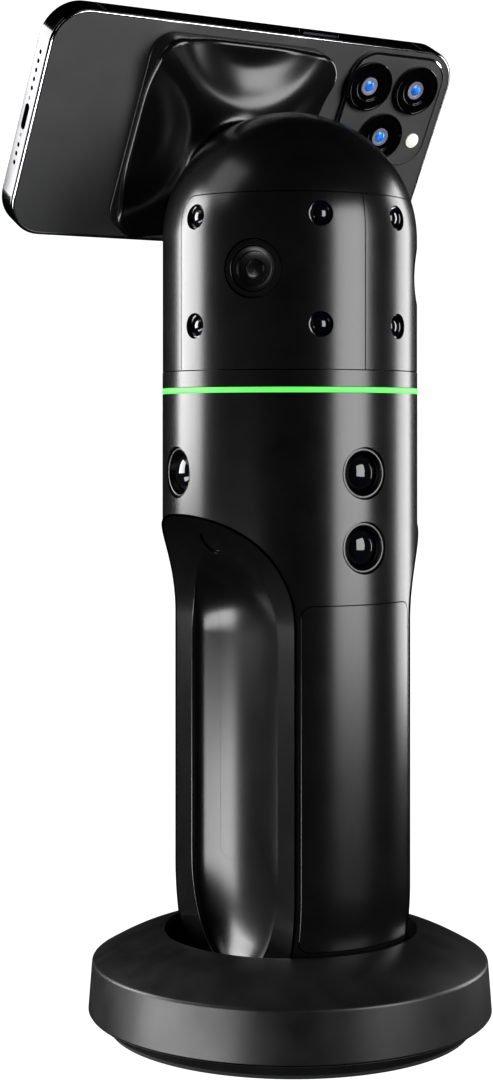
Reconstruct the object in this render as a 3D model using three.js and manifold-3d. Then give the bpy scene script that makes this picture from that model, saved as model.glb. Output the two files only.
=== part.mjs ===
// A handheld imaging scanner standing in its round charging dock, with a phone on its magnetic mount.
// Millimetres, +Z up. The origin is the centre of the dock's underside, and the scanner's front faces -Y.
// Azimuths are in degrees from the front, positive towards +X.
import * as THREE from "three";
import { mergeVertices } from "three/addons/utils/BufferGeometryUtils.js";
import Module from "manifold-3d";

const wasm = await Module();
wasm.setup();

// ---- Driving dimensions ----

const GAP = 0.3; // clearance round a seated piece
const FACETS = 36; // facets round the body and the dock
const INNER_FACETS = 20; // facets round the hidden inner walls and the discs in them
const SMALL_FACETS = 14; // facets round lenses, pins and bores
const OVERRUN = 2; // how far a cutter runs past the face it opens

const dock = {
  wallRadius: 63.2, // the side wall at its lower edge
  wallTaper: 1.2, // how much narrower the rim is
  footInset: 6.6, // from the wall in to the foot's edge
  footThickness: 1.2,
  bevelHeight: 5.8, // top of the underside bevel
  rimHeight: 21.4,
  mouthHeight: 30.7, // top edge of the socket
  topCrown: 1.1, // how far the top bulges above a straight cone
  socketFloor: 7.0,
  socketClearance: 1.4, // round the scanner
  wall: 2.5,
  plate: 1.8, // thickness of the base plate
  ballastHeight: 8,
};

const body = {
  radius: 40,
  height: 197.3, // from the underside to the head
  roundingRadius: 85, // of the long curve at the foot of the handle
  roundingHeight: 40.7,
  wall: 2.4,
  floor: 2.6,
  flatDistance: 21.2, // from the axis to each side flat
  runoutBelowTop: 76.6, // where the flats start to run out
  runoutRadius: 38.4,
  collarBore: 34, // inside the thick collar that carries the light ring
  collarHeight: 14.6,
};

const scoop = {
  stripWidth: 9.7, // of flat left beside the scoop
  depth: 9.5,
  lowerEnd: 44.7, // centre of the lower rounded end, above the underside
  lowerLength: 33,
  upperBelowRunout: 6, // centre of the upper rounded end, below the run-out
  upperLength: 28,
  backing: 1.4, // wall left behind the grip panel
};

const panel = { thickness: 1.2, margin: 6.7, corner: 3.5, aboveLowerEnd: -1, aboveRunout: 6 };

const door = { reveal: 1.2, belowTop: 69.9, aboveBase: 24.2, corner: 3.5 };

const battery = {
  doorClearance: 1.05, // from the pack's front corners to the door
  length: 52,
  clearance: 0.6, // from the walls of its bay
  endClearance: 6,
  corner: 2,
};

const connector = { depth: 8, height: 20 };

const button = { radius: 3.85, length: 6, recess: 0.5, aboveRunout: 24 };

const lightRing = { height: 2.5, depth: 3.3, proud: 0.1, belowTop: 5.8 };

const bodyCamera = {
  pocketRadius: 7.9,
  upperBelowTop: 30.8,
  lowerBelowTop: 53.1,
  sideAzimuth: 94.5,
  length: 9,
  barrelWall: 2.2,
  recess: 1, // of the barrel's front
  lipWidth: 0.6,
  throatDepth: 2.6,
  lensDepth: 3.4, // of the lens's shoulder
  lensRise: 1.6,
};

const head = {
  relief: 0.05, // how much smaller its radius is than the body's
  straight: 41.4, // height of the straight part under the dome
  wall: 3.5,
  spigotLength: 4.5,
  spigotWall: 2.2,
  floor: 3,
};

const windowPanel = { thickness: 1.6, height: 52.7, seam: 0.3, corner: 5 };

const depthCamera = {
  azimuth: 50.8,
  aboveHead: 29.9,
  radius: 9,
  innerRadius: 7.05,
  recess: 1.15,
  length: 8,
  dishRadius: 5.25,
  pupilRadius: 2,
};

const depthBoard = {
  wallClearance: 2.6, // from its upright edges to the head's inner wall
  height: 38,
};

const emitter = {
  spread: 29.7, // on each side of the depth camera, in degrees
  lowAboveHead: 13.3,
  highAboveHead: 46.2,
  radius: 3.85,
  recess: 1.1,
  length: 5,
};

const pad = {
  size: 69,
  corner: 8.5,
  thickness: 9, // from the phone's back to the pad's front
  tilt: 29,
  standOff: 5.75, // from the pad's front to the dome
  lift: 12.1, // of the pad's centre above the line from the dome's centre
  plate: 1.5,
  rim: 2.6, // thickness of the pad's square edge
  taperInset: 2, // from the rim in to the foot of the taper
  taperShare: 0.56, // width of the taper's front, as a share of its foot
  neckTop: 26, // radius where the neck enters the dome
  neckFoot: 15, // radius where it leaves the pad
  neckOffset: 9.1, // of the neck's axis below the pad's centre
  neckReach: 10, // how far the neck runs into the dome
};

const magnet = { outer: 26, inner: 19, thickness: 2 };

const phone = {
  length: 157.4,
  width: 76.7,
  thickness: 8.2,
  corner: 12.5,
  wall: 2.4,
  glass: 0.8,
  glassInset: 0.9,
  padClearance: 9.7, // between the pad and the camera plateau
};

const plateau = { length: 38.8, width: 39.5, corner: 9, height: 1.5, endInset: 4.7, sideInset: 2.35 };

const phoneLens = { radius: 8.7, height: 1.5 };

const phoneKey = { travel: 0.3, proud: 0.5, width: 3 };

const phonePort = { width: 8.6, height: 3, depth: 6 };

const phoneCell = { midPlate: 1.6, lengthShare: 0.5, shiftShare: 0.15, sideClearance: 8 };

const contact = { offset: 12, radius: 3, proud: 1 };

const inlet = { width: 9, height: 3.2, depth: 7.4, centre: 16.8, wall: 0.6 };

const board = { thickness: 1.6, inset: 2 };

const ringBoard = { width: 8, lift: 2 };

const chassis = {
  thickness: 3, // of the disc under the collar
  webAboveRunout: 26, // where the upright web ends
  webBeyondFlat: 3.5,
  webFront: 6,
  webBack: 8.5,
  overlap: 1,
};

const dockBoard = { width: 30, outerInset: 1, cupClearance: 6 };

// ---- Sizes that follow from them ----

const bodyBase = dock.socketFloor + GAP;
const bodyTop = bodyBase + body.height;
const headBase = bodyTop + GAP;
const runoutHeight = bodyTop - body.runoutBelowTop;
const flatHalfWidth = Math.sqrt(body.radius ** 2 - body.flatDistance ** 2);
const scoopHalfWidth = flatHalfWidth - scoop.stripWidth;
const scoopLowCentre = bodyBase + scoop.lowerEnd;
const scoopHighCentre = runoutHeight - scoop.upperBelowRunout;
const panelSeat = panel.thickness + GAP;
const scoopWall = panelSeat + scoop.backing;
const headRadius = body.radius - head.relief;
const domeCentre = new THREE.Vector3(0, 0, headBase + head.straight);
const shelfHeight = bodyTop - body.collarHeight;

// ---- Geometry helpers ----

// Revolves [radius, height] points about the vertical axis; they go up the outside of the piece.
function revolve(points, facets = FACETS) {
  const profile = points.map(([radius, height]) => new THREE.Vector2(radius, height));
  return new THREE.LatheGeometry(profile, facets).rotateX(Math.PI / 2);
}

// A ring with a rectangular section.
function ring(innerRadius, outerRadius, low, high, facets = FACETS) {
  return revolve(
    [
      [innerRadius, low],
      [outerRadius, low],
      [outerRadius, high],
      [innerRadius, high],
      [innerRadius, low],
    ],
    facets,
  );
}

// An upright disc or rod.
function rod(radius, low, high, facets = SMALL_FACETS) {
  return new THREE.CylinderGeometry(radius, radius, high - low, facets)
    .rotateX(Math.PI / 2)
    .translate(0, 0, (low + high) / 2);
}

function block(size, centre) {
  return new THREE.BoxGeometry(...size).translate(...centre);
}

function roundedRectangle(width, height, corner) {
  const x = width / 2 - corner;
  const y = height / 2 - corner;
  const shape = new THREE.Shape();
  shape.absarc(x, y, corner, 0, Math.PI / 2);
  shape.absarc(-x, y, corner, Math.PI / 2, Math.PI);
  shape.absarc(-x, -y, corner, Math.PI, 1.5 * Math.PI);
  shape.absarc(x, -y, corner, 1.5 * Math.PI, 2 * Math.PI);
  return shape;
}

// A flat outline thickened from one height to another.
function slab(shape, low, high, curveSegments = 5) {
  const options = { depth: high - low, bevelEnabled: false, curveSegments };
  return new THREE.ExtrudeGeometry(shape, options).translate(0, 0, low);
}

// The same slab turned so that its outline lies in XZ and its heights run along -Y.
function frontSlab(shape, near, far, curveSegments) {
  return slab(shape, near, far, curveSegments).rotateX(Math.PI / 2);
}

// The same slab turned so that its outline lies in YZ and its heights run along +X.
function sideSlab(shape, near, far, curveSegments) {
  return slab(shape, near, far, curveSegments)
    .rotateX(Math.PI / 2)
    .rotateZ(Math.PI / 2);
}

// A closed geometry as a manifold-3d solid.
function solid(geometry) {
  const bare = new THREE.BufferGeometry();
  bare.setAttribute("position", geometry.getAttribute("position"));
  bare.setIndex(geometry.getIndex());
  const merged = mergeVertices(bare, 1e-4);
  return new wasm.Manifold(
    new wasm.Mesh({
      numProp: 3,
      vertProperties: Float32Array.from(merged.getAttribute("position").array),
      triVerts: Uint32Array.from(merged.getIndex().array),
    }),
  );
}

function geometryOf(shape) {
  const { vertProperties, triVerts } = shape.getMesh();
  const geometry = new THREE.BufferGeometry();
  geometry.setAttribute("position", new THREE.BufferAttribute(vertProperties, 3));
  geometry.setIndex(new THREE.BufferAttribute(triVerts, 1));
  geometry.computeVertexNormals();
  return geometry;
}

const mirrored = (shape) => shape.mirror([1, 0, 0]);

const sides = [
  ["left", -1],
  ["right", 1],
];

// A place on the upright wall: +Z points outwards there, and +Y points up.
function onWall(azimuth, radius, height) {
  return new THREE.Matrix4()
    .makeTranslation(0, 0, height)
    .multiply(new THREE.Matrix4().makeRotationZ(THREE.MathUtils.degToRad(azimuth)))
    .multiply(new THREE.Matrix4().makeTranslation(0, -radius, 0))
    .multiply(new THREE.Matrix4().makeRotationX(Math.PI / 2));
}

// ---- Finishes ----

const finishes = {
  satinBlack: [0x0b0b0c, 0.35, 0.0],
  glossBlack: [0x070708, 0.12, 0.0],
  dockBlack: [0x121213, 0.5, 0.0],
  rubber: [0x0d0d0d, 0.9, 0.0],
  steel: [0x8c8f93, 0.35, 1.0],
  board: [0x12402a, 0.6, 0.0],
  brass: [0xc9a44c, 0.3, 1.0],
  barrel: [0x050505, 0.4, 0.0],
  lens: [0x0a0c12, 0.05, 0.0],
  glow: [0x8dff8d, 0.4, 0.0],
  battery: [0x2c2e31, 0.6, 0.0],
  aluminium: [0xa4a7ab, 0.4, 1.0],
  phoneFrame: [0x9a9ca0, 0.12, 1.0],
  phoneGlass: [0x2b2c2f, 0.4, 0.0],
  phoneScreen: [0x050506, 0.05, 0.0],
  flash: [0xf4efe2, 0.3, 0.0],
};

function place(group, name, finish, shape) {
  const [color, roughness, metalness] = finishes[finish];
  const material = new THREE.MeshStandardMaterial({ color, roughness, metalness });
  const geometry = shape.isBufferGeometry ? shape : geometryOf(shape);
  const mesh = new THREE.Mesh(geometry, material);
  mesh.name = name;
  group.add(mesh);
  return mesh;
}

// ---- Scanner body ----

// Radius of the handle's surface at a height.
function bodyRadiusAt(height) {
  const below = Math.max(0, bodyBase + body.roundingHeight - height);
  return body.radius - body.roundingRadius + Math.sqrt(body.roundingRadius ** 2 - below ** 2);
}

// [radius, height] points up the rounded foot of the handle, moved in or out by an offset.
function roundingPoints(low, offset, steps = 5) {
  const high = bodyBase + body.roundingHeight;
  return Array.from({ length: steps + 1 }, (_, i) => {
    const height = low + ((high - low) * i) / steps;
    return [bodyRadiusAt(height) + offset, height];
  });
}

// Distance from the axis to the side flat, which curves out to the full radius near its top.
function flatDistanceAt(height) {
  const above = THREE.MathUtils.clamp(height - runoutHeight, 0, body.runoutRadius);
  return body.flatDistance + body.runoutRadius - Math.sqrt(body.runoutRadius ** 2 - above ** 2);
}

// Everything outside the +X flat, which is moved inwards by an inset.
function flatCutter(inset) {
  const centre = body.flatDistance + body.runoutRadius;
  const radius = body.runoutRadius + inset;
  const reach = body.radius + OVERRUN;
  const sweep = Math.acos((centre - reach) / radius);
  const shape = new THREE.Shape();
  shape.moveTo(reach, bodyBase - OVERRUN);
  shape.lineTo(reach, runoutHeight + radius * Math.sin(sweep));
  shape.absarc(centre, runoutHeight, radius, Math.PI - sweep, Math.PI, false);
  shape.lineTo(centre - radius, bodyBase - OVERRUN);
  return solid(frontSlab(shape, -reach, reach, 10));
}

// The finger scoop in the +X flat, larger all round by an offset: a sphere pulled out into a long bowl.
function scoopCutter(offset) {
  const around = 20;
  const bowl = new THREE.SphereGeometry(1, around, 10).rotateY(Math.PI / around).rotateZ(Math.PI / 2);
  const position = bowl.getAttribute("position");
  for (let i = 0; i < position.count; i += 1) {
    const inward = -position.getX(i);
    const across = -position.getZ(i);
    const up = position.getY(i);
    const centre = up < 0 ? scoopLowCentre : scoopHighCentre;
    const length = (up < 0 ? scoop.lowerLength : scoop.upperLength) + offset;
    const height = centre + up * length;
    const softening = 1 + Math.max(0, up); // the upper end fades into the run-out
    const depth = (scoop.depth + offset) * Math.max(0, inward) ** softening;
    const outside = inward < -1e-6;
    position.setXYZ(
      i,
      outside ? body.radius + OVERRUN : flatDistanceAt(height) - depth,
      across * (scoopHalfWidth + offset),
      height,
    );
  }
  return solid(bowl);
}

// The outline of a grip panel in the scoop, larger all round by an offset.
function panelPrism(offset) {
  const low = scoopLowCentre + panel.aboveLowerEnd - offset;
  const high = runoutHeight + panel.aboveRunout + offset;
  const width = 2 * (scoopHalfWidth - panel.margin + offset);
  const outline = roundedRectangle(width, high - low, panel.corner);
  return solid(sideSlab(outline, 0, body.radius).translate(0, 0, (low + high) / 2));
}

function bothSides(shape) {
  return shape.add(mirrored(shape));
}

// The front door's outline, larger all round by an offset, through the front wall.
function doorPrism(offset) {
  const low = bodyBase + door.aboveBase - offset;
  const high = bodyTop - door.belowTop + offset;
  const halfWidth = body.flatDistance - door.reveal + offset;
  const back = Math.sqrt((body.radius - body.wall) ** 2 - halfWidth ** 2) - GAP;
  const outline = roundedRectangle(2 * halfWidth, high - low, door.corner + offset);
  return solid(frontSlab(outline, back, body.radius + OVERRUN).translate(0, 0, (low + high) / 2));
}

// Length of the push button's seat along the run-out, as an angle from its start.
const buttonAngle = Math.asin(button.aboveRunout / body.runoutRadius);

// A place on the -X run-out: +Z points outwards, square to the slope.
const buttonPlace = new THREE.Matrix4()
  .makeTranslation(
    -flatDistanceAt(runoutHeight + button.aboveRunout),
    0,
    runoutHeight + button.aboveRunout,
  )
  .multiply(new THREE.Matrix4().makeRotationY(-Math.PI / 2 - buttonAngle));

const cameras = [
  { name: "front_upper_camera", azimuth: 0, height: bodyTop - bodyCamera.upperBelowTop },
  { name: "front_lower_camera", azimuth: 0, height: bodyTop - bodyCamera.lowerBelowTop },
  { name: "left_camera", azimuth: -bodyCamera.sideAzimuth, height: bodyTop - bodyCamera.upperBelowTop },
  { name: "right_camera", azimuth: bodyCamera.sideAzimuth, height: bodyTop - bodyCamera.upperBelowTop },
];

function bodyOuter(inset, low, high) {
  return solid(revolve([[0, low], ...roundingPoints(low, -inset), [body.radius - inset, high], [0, high]]));
}

function bodyShell() {
  const cavity = solid(
    revolve(
      [
        [0, bodyBase + body.floor],
        ...roundingPoints(bodyBase + body.floor, -body.wall, 3),
        [body.radius - body.wall, shelfHeight],
        [body.collarBore, shelfHeight],
        [body.collarBore, bodyTop + OVERRUN],
        [0, bodyTop + OVERRUN],
      ],
      INNER_FACETS,
    ),
  )
    .subtract(bothSides(flatCutter(body.wall)))
    .subtract(bothSides(scoopCutter(scoopWall)));
  const panelPocket = scoopCutter(panelSeat).intersect(panelPrism(GAP));
  const ringCentre = bodyTop - lightRing.belowTop;
  const groove = ring(
    body.radius - lightRing.depth - GAP,
    body.radius + OVERRUN,
    ringCentre - lightRing.height / 2 - GAP / 2,
    ringCentre + lightRing.height / 2 + GAP / 2,
  );
  let shell = bodyOuter(0, bodyBase, bodyTop)
    .subtract(bothSides(flatCutter(0)))
    .subtract(bothSides(scoopCutter(0)))
    .subtract(bothSides(panelPocket))
    .subtract(cavity)
    .subtract(solid(groove))
    .subtract(doorPrism(0));
  for (const { azimuth, height } of cameras) {
    const pocket = rod(bodyCamera.pocketRadius, -bodyCamera.length - OVERRUN, OVERRUN);
    shell = shell.subtract(solid(pocket.applyMatrix4(onWall(azimuth, body.radius, height))));
  }
  const buttonBore = rod(button.radius + GAP, -button.length, OVERRUN).applyMatrix4(buttonPlace);
  shell = shell.subtract(solid(buttonBore));
  for (const side of [-1, 1]) {
    const contactBore = rod(contact.radius + GAP, bodyBase - OVERRUN, bodyBase + body.floor + OVERRUN);
    shell = shell.subtract(solid(contactBore.translate(side * contact.offset, 0, 0)));
  }
  return shell;
}

function frontDoor() {
  const wall = bodyOuter(0, bodyBase, bodyTop).subtract(bodyOuter(body.wall, bodyBase, bodyTop));
  return wall.intersect(doorPrism(-GAP));
}

function gripPanel() {
  return scoopCutter(panel.thickness).intersect(panelPrism(0)).subtract(scoopCutter(0));
}

function cameraBarrel() {
  const outer = bodyCamera.pocketRadius - GAP;
  const bore = outer - bodyCamera.barrelWall;
  return revolve(
    [
      [bore, -bodyCamera.length],
      [outer, -bodyCamera.length],
      [outer, -bodyCamera.recess],
      [outer - bodyCamera.lipWidth, -bodyCamera.recess],
      [bore, -bodyCamera.throatDepth],
      [bore, -bodyCamera.length],
    ],
    SMALL_FACETS,
  );
}

// A lens with a domed front, along +Z.
function domedLens(radius, back, shoulder, rise) {
  const steps = 4;
  const dome = Array.from({ length: steps + 1 }, (_, i) => {
    const angle = (i / steps) * (Math.PI / 2);
    return [radius * Math.cos(angle), shoulder + rise * Math.sin(angle)];
  });
  dome[steps][0] = 0;
  return revolve([[0, back], [radius, back], ...dome], SMALL_FACETS);
}

function addBody(group) {
  place(group, "body_shell", "satinBlack", bodyShell());
  place(group, "front_door", "satinBlack", frontDoor());
  const rightPanel = gripPanel();
  place(group, "right_grip_panel", "glossBlack", rightPanel);
  place(group, "left_grip_panel", "glossBlack", mirrored(rightPanel));

  for (const { name, azimuth, height } of cameras) {
    const spot = onWall(azimuth, body.radius, height);
    place(group, `${name}_barrel`, "barrel", cameraBarrel()).applyMatrix4(spot);
    const lensRadius = bodyCamera.pocketRadius - bodyCamera.barrelWall - 2 * GAP;
    const lensBack = GAP - bodyCamera.length;
    const lens = domedLens(lensRadius, lensBack, -bodyCamera.lensDepth, bodyCamera.lensRise);
    place(group, `${name}_lens`, "lens", lens).applyMatrix4(spot);
  }

  const plunger = rod(button.radius, -button.length, -button.recess);
  place(group, "power_button", "glossBlack", plunger).applyMatrix4(buttonPlace);

  const ringCentre = bodyTop - lightRing.belowTop;
  place(
    group,
    "light_ring",
    "glow",
    ring(
      body.radius - lightRing.depth,
      body.radius + lightRing.proud,
      ringCentre - lightRing.height / 2,
      ringCentre + lightRing.height / 2,
    ),
  );
  const boardOuter = body.collarBore - GAP;
  const boardLow = shelfHeight + ringBoard.lift;
  const boardHigh = boardLow + board.thickness;
  place(
    group,
    "light_ring_board",
    "board",
    ring(boardOuter - ringBoard.width, boardOuter, boardLow, boardHigh, INNER_FACETS),
  );
}

// The battery bay lies between the scoops, which leave it this half-width.
const bayHalfWidth = body.flatDistance - scoop.depth - scoopWall;

// The battery pack slides in behind the door, whose inner wall its front corners clear.
const packHalfWidth = bayHalfWidth - battery.clearance;
const doorInnerRadius = (body.radius - body.wall) * Math.cos(Math.PI / FACETS);
const packFront = battery.doorClearance - Math.sqrt(doorInnerRadius ** 2 - packHalfWidth ** 2);
const packBack = packFront + battery.length;
const packLow = bodyBase + door.aboveBase + battery.endClearance;
const packHigh = bodyTop - door.belowTop - battery.endClearance;

function addBattery(group) {
  const outline = roundedRectangle(2 * packHalfWidth, battery.length, battery.corner);
  const pack = slab(outline, packLow, packHigh).translate(0, (packFront + packBack) / 2, 0);
  place(group, "battery_pack", "battery", pack);
  const socket = block(
    [2 * (bayHalfWidth - GAP), connector.depth, connector.height],
    [0, packBack + GAP + connector.depth / 2, (packLow + packHigh) / 2],
  );
  place(group, "battery_connector", "barrel", socket);
}

function addInternals(group) {
  const discTop = shelfHeight - GAP;
  const discBottom = discTop - chassis.thickness;
  const webTop = discBottom + chassis.overlap;
  const webBottom = runoutHeight + chassis.webAboveRunout;
  const webHalfWidth = body.flatDistance + chassis.webBeyondFlat;
  const disc = solid(rod(body.radius - body.wall - GAP, discBottom, discTop, INNER_FACETS));
  const web = solid(
    block(
      [2 * webHalfWidth, chassis.webBack - chassis.webFront, webTop - webBottom],
      [0, (chassis.webBack + chassis.webFront) / 2, (webTop + webBottom) / 2],
    ),
  );
  place(group, "chassis", "aluminium", disc.add(web));

  const boardTop = discBottom - GAP;
  const boardBottom = webBottom + board.inset;
  const mainBoard = block(
    [2 * (webHalfWidth - board.inset), board.thickness, boardTop - boardBottom],
    [0, chassis.webFront - GAP - board.thickness / 2, (boardTop + boardBottom) / 2],
  );
  place(group, "main_board", "board", mainBoard);

  for (const [name, side] of sides) {
    const top = bodyBase + body.floor + contact.proud;
    const pin = rod(contact.radius, bodyBase, top);
    place(group, `${name}_contact_pad`, "brass", pin).position.x = side * contact.offset;
  }
}

// ---- Head ----

// The domed solid of the head, its surface moved inwards by an inset.
function headSolid(inset, low, facets = FACETS) {
  const steps = Math.round(facets / 5);
  const radius = headRadius - inset;
  const dome = Array.from({ length: steps + 1 }, (_, i) => {
    const angle = (i / steps) * (Math.PI / 2);
    return [radius * Math.cos(angle), domeCentre.z + radius * Math.sin(angle)];
  });
  dome[steps][0] = 0;
  return solid(revolve([[0, low], [radius, low], ...dome], facets));
}

// The outline of the +X window panel, larger by an offset. It goes out through the head's wall from a plane near
// the middle.
function windowPrism(offset, near) {
  const low = headBase - OVERRUN;
  const high = headBase + windowPanel.height + offset;
  const front = -body.radius - OVERRUN;
  const outline = new THREE.Shape();
  outline.moveTo(front, low);
  outline.lineTo(offset, low);
  outline.absarc(offset - windowPanel.corner, high - windowPanel.corner, windowPanel.corner, 0, Math.PI / 2);
  outline.lineTo(front, high);
  return solid(sideSlab(outline, near, body.radius + OVERRUN));
}

const emitterSpots = [
  { name: "front_lower", shift: -emitter.spread, height: headBase + emitter.lowAboveHead },
  { name: "front_upper", shift: -emitter.spread, height: headBase + emitter.highAboveHead },
  { name: "rear_lower", shift: emitter.spread, height: headBase + emitter.lowAboveHead },
  { name: "rear_upper", shift: emitter.spread, height: headBase + emitter.highAboveHead },
];

// The holes for the +X depth camera and its emitters.
function opticBores() {
  const main = rod(depthCamera.radius, -depthCamera.length - OVERRUN, OVERRUN, FACETS / 2);
  const mainSpot = onWall(depthCamera.azimuth, headRadius, headBase + depthCamera.aboveHead);
  let bores = solid(main.applyMatrix4(mainSpot));
  for (const { shift, height } of emitterSpots) {
    const small = rod(emitter.radius, -emitter.length - OVERRUN, OVERRUN);
    const spot = onWall(depthCamera.azimuth + shift, headRadius, height);
    bores = bores.add(solid(small.applyMatrix4(spot)));
  }
  return bores;
}

function headShell(bores) {
  const windowSeat = windowPrism(GAP, -OVERRUN).subtract(
    headSolid(windowPanel.thickness + GAP, headBase - 2 * OVERRUN),
  );
  const spigotOuter = body.collarBore - GAP;
  const spigotBore = spigotOuter - head.spigotWall;
  const floorTop = headBase + head.floor;
  const spigot = ring(spigotBore, spigotOuter, headBase - head.spigotLength, floorTop, INNER_FACETS);
  const bore = rod(spigotBore, headBase - OVERRUN, floorTop + OVERRUN, INNER_FACETS);
  return headSolid(0, headBase)
    .subtract(headSolid(head.wall, floorTop, INNER_FACETS))
    .subtract(solid(bore))
    .add(solid(spigot))
    .subtract(bothSides(windowSeat))
    .subtract(bothSides(bores));
}

function windowPiece(bores) {
  return headSolid(0, headBase)
    .subtract(headSolid(windowPanel.thickness, headBase - OVERRUN))
    .intersect(windowPrism(0, windowPanel.seam / 2))
    .subtract(bores);
}

function depthBezel() {
  return ring(
    depthCamera.innerRadius,
    depthCamera.radius - GAP,
    -depthCamera.length,
    -depthCamera.recess,
    FACETS / 2,
  );
}

function depthLens() {
  const rim = depthCamera.innerRadius - GAP;
  const dish = [
    [rim, 0.5],
    [depthCamera.dishRadius, 1.2],
    [depthCamera.pupilRadius, 1.8],
    [depthCamera.pupilRadius * 0.7, 1.1],
    [0, 0.8],
  ];
  const front = dish.map(([radius, depth]) => [radius, -depthCamera.recess - depth]);
  return revolve([[0, -depthCamera.length], [rim, -depthCamera.length], ...front], FACETS / 2);
}

// The board behind a depth camera, as wide as the head's inner wall leaves room for.
function depthBoardBlock() {
  const front = depthCamera.length + GAP;
  const edgeRadius = headRadius - head.wall - depthBoard.wallClearance;
  const width = 2 * Math.sqrt(edgeRadius ** 2 - (headRadius - front) ** 2);
  return block([width, depthBoard.height, board.thickness], [0, 0, -front - board.thickness / 2]);
}

function addHead(group) {
  const bores = opticBores();
  place(group, "head_shell", "satinBlack", headShell(bores));
  const rightWindow = windowPiece(bores);
  place(group, "right_window", "glossBlack", rightWindow);
  place(group, "left_window", "glossBlack", mirrored(rightWindow));
  for (const [name, side] of sides) {
    const height = headBase + depthCamera.aboveHead;
    const spot = onWall(side * depthCamera.azimuth, headRadius, height);
    place(group, `${name}_depth_bezel`, "barrel", depthBezel()).applyMatrix4(spot);
    place(group, `${name}_depth_lens`, "lens", depthLens()).applyMatrix4(spot);
    place(group, `${name}_depth_board`, "board", depthBoardBlock()).applyMatrix4(spot);
    for (const item of emitterSpots) {
      const azimuth = side * (depthCamera.azimuth + item.shift);
      const lens = domedLens(emitter.radius - GAP, -emitter.length, -emitter.recess - 1, 1);
      const piece = place(group, `${name}_emitter_${item.name}`, "lens", lens);
      piece.applyMatrix4(onWall(azimuth, headRadius, item.height));
    }
  }
}

// ---- Phone mount ----
// In this group +X is across, +Y runs up the pad, and +Z points from the phone's back to the dome.

const mountTilt = THREE.MathUtils.degToRad(pad.tilt);
const padNormal = new THREE.Vector3(0, Math.cos(mountTilt), Math.sin(mountTilt));
const padUp = new THREE.Vector3(0, -Math.sin(mountTilt), Math.cos(mountTilt));
const planeDistance = headRadius + pad.standOff + pad.thickness; // from the dome's centre to the phone's back

function placeMountGroup(group) {
  group.position.copy(domeCentre).addScaledVector(padNormal, planeDistance).addScaledVector(padUp, pad.lift);
  group.rotation.x = Math.PI / 2 + mountTilt;
}

function mountArm() {
  const low = GAP + pad.plate + GAP;
  const taperLow = low + pad.rim - OVERRUN / 2;
  const rim = solid(slab(roundedRectangle(pad.size, pad.size, pad.corner), low, low + pad.rim));
  const dome = new THREE.SphereGeometry(headRadius + GAP, FACETS, FACETS / 2);
  dome.translate(0, -pad.lift, planeDistance);
  const foot = (pad.size / 2 - pad.taperInset) * Math.SQRT2; // out to the corners of the taper's square foot
  const taper = new THREE.CylinderGeometry(foot * pad.taperShare, foot, pad.thickness - taperLow, 4)
    .rotateY(Math.PI / 4)
    .rotateX(Math.PI / 2)
    .translate(0, 0, (pad.thickness + taperLow) / 2);
  const neckHigh = planeDistance - headRadius + pad.neckReach;
  const neck = new THREE.CylinderGeometry(pad.neckTop, pad.neckFoot, neckHigh - taperLow, FACETS / 2)
    .rotateX(Math.PI / 2)
    .translate(0, -pad.neckOffset, (taperLow + neckHigh) / 2);
  const grooveHigh = low + magnet.thickness + GAP;
  const groove = ring(magnet.inner - GAP, magnet.outer + GAP, low - OVERRUN, grooveHigh, FACETS / 2);
  return rim.add(solid(taper)).add(solid(neck)).subtract(solid(dome)).subtract(solid(groove));
}

function addMount(group) {
  place(group, "mount_arm", "satinBlack", mountArm());
  const plate = slab(roundedRectangle(pad.size, pad.size, pad.corner), GAP, GAP + pad.plate);
  place(group, "mount_plate", "dockBlack", plate);
  const magnetLow = GAP + pad.plate + GAP;
  const magnetRing = ring(magnet.inner, magnet.outer, magnetLow, magnetLow + magnet.thickness, FACETS / 2);
  place(group, "magnet_ring", "steel", magnetRing);
}

// ---- Phone ----
// In this group the phone's back is at Z = 0, its length runs along X and its screen is at -thickness.

const plateauLeft = phone.length / 2 - plateau.endInset - plateau.length;
const phoneShift = pad.size / 2 + phone.padClearance - plateauLeft; // the pad clears the camera plateau

const lensSpots = [
  [-11.6, 7.9],
  [8, 8.2],
  [-0.8, -9.7],
];

// A rounded slab of the phone's outline, smaller all round by an inset.
function phoneSlab(inset, low, high) {
  const corner = phone.corner - inset;
  return slab(roundedRectangle(phone.length - 2 * inset, phone.width - 2 * inset, corner), low, high, 4);
}

const keySpots = [
  { name: "phone_side_button", side: 1, centre: 21.2, length: 16.1 },
  { name: "phone_volume_up", side: -1, centre: 30, length: 10 },
  { name: "phone_volume_down", side: -1, centre: 16, length: 10 },
];

// One key in a long wall, with its slot larger all round by an offset.
function phoneKeyBlock({ side, centre, length }, offset) {
  const outer = phone.width / 2 + phoneKey.proud + (offset ? OVERRUN : 0);
  const inner = phone.width / 2 - phone.wall + (offset ? -OVERRUN : phoneKey.travel);
  return block(
    [length + 2 * offset, outer - inner, phoneKey.width + 2 * offset],
    [centre, (side * (outer + inner)) / 2, -phone.thickness / 2],
  );
}

function phoneFrame() {
  const edge = phone.glass / 2;
  const screenSeat = -phone.thickness + phone.glass + GAP;
  let frame = solid(phoneSlab(0, -phone.thickness + edge, -edge))
    .subtract(solid(phoneSlab(phone.glassInset - GAP, -phone.glass - GAP, OVERRUN)))
    .subtract(solid(phoneSlab(phone.wall, screenSeat + phoneCell.midPlate, OVERRUN)))
    .subtract(solid(phoneSlab(phone.glassInset - GAP, -phone.thickness - OVERRUN, screenSeat)));
  for (const key of keySpots) frame = frame.subtract(solid(phoneKeyBlock(key, GAP)));
  const port = block(
    [2 * phonePort.depth, phonePort.width, phonePort.height],
    [-phone.length / 2, 0, -phone.thickness / 2],
  );
  return frame.subtract(solid(port));
}

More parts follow.
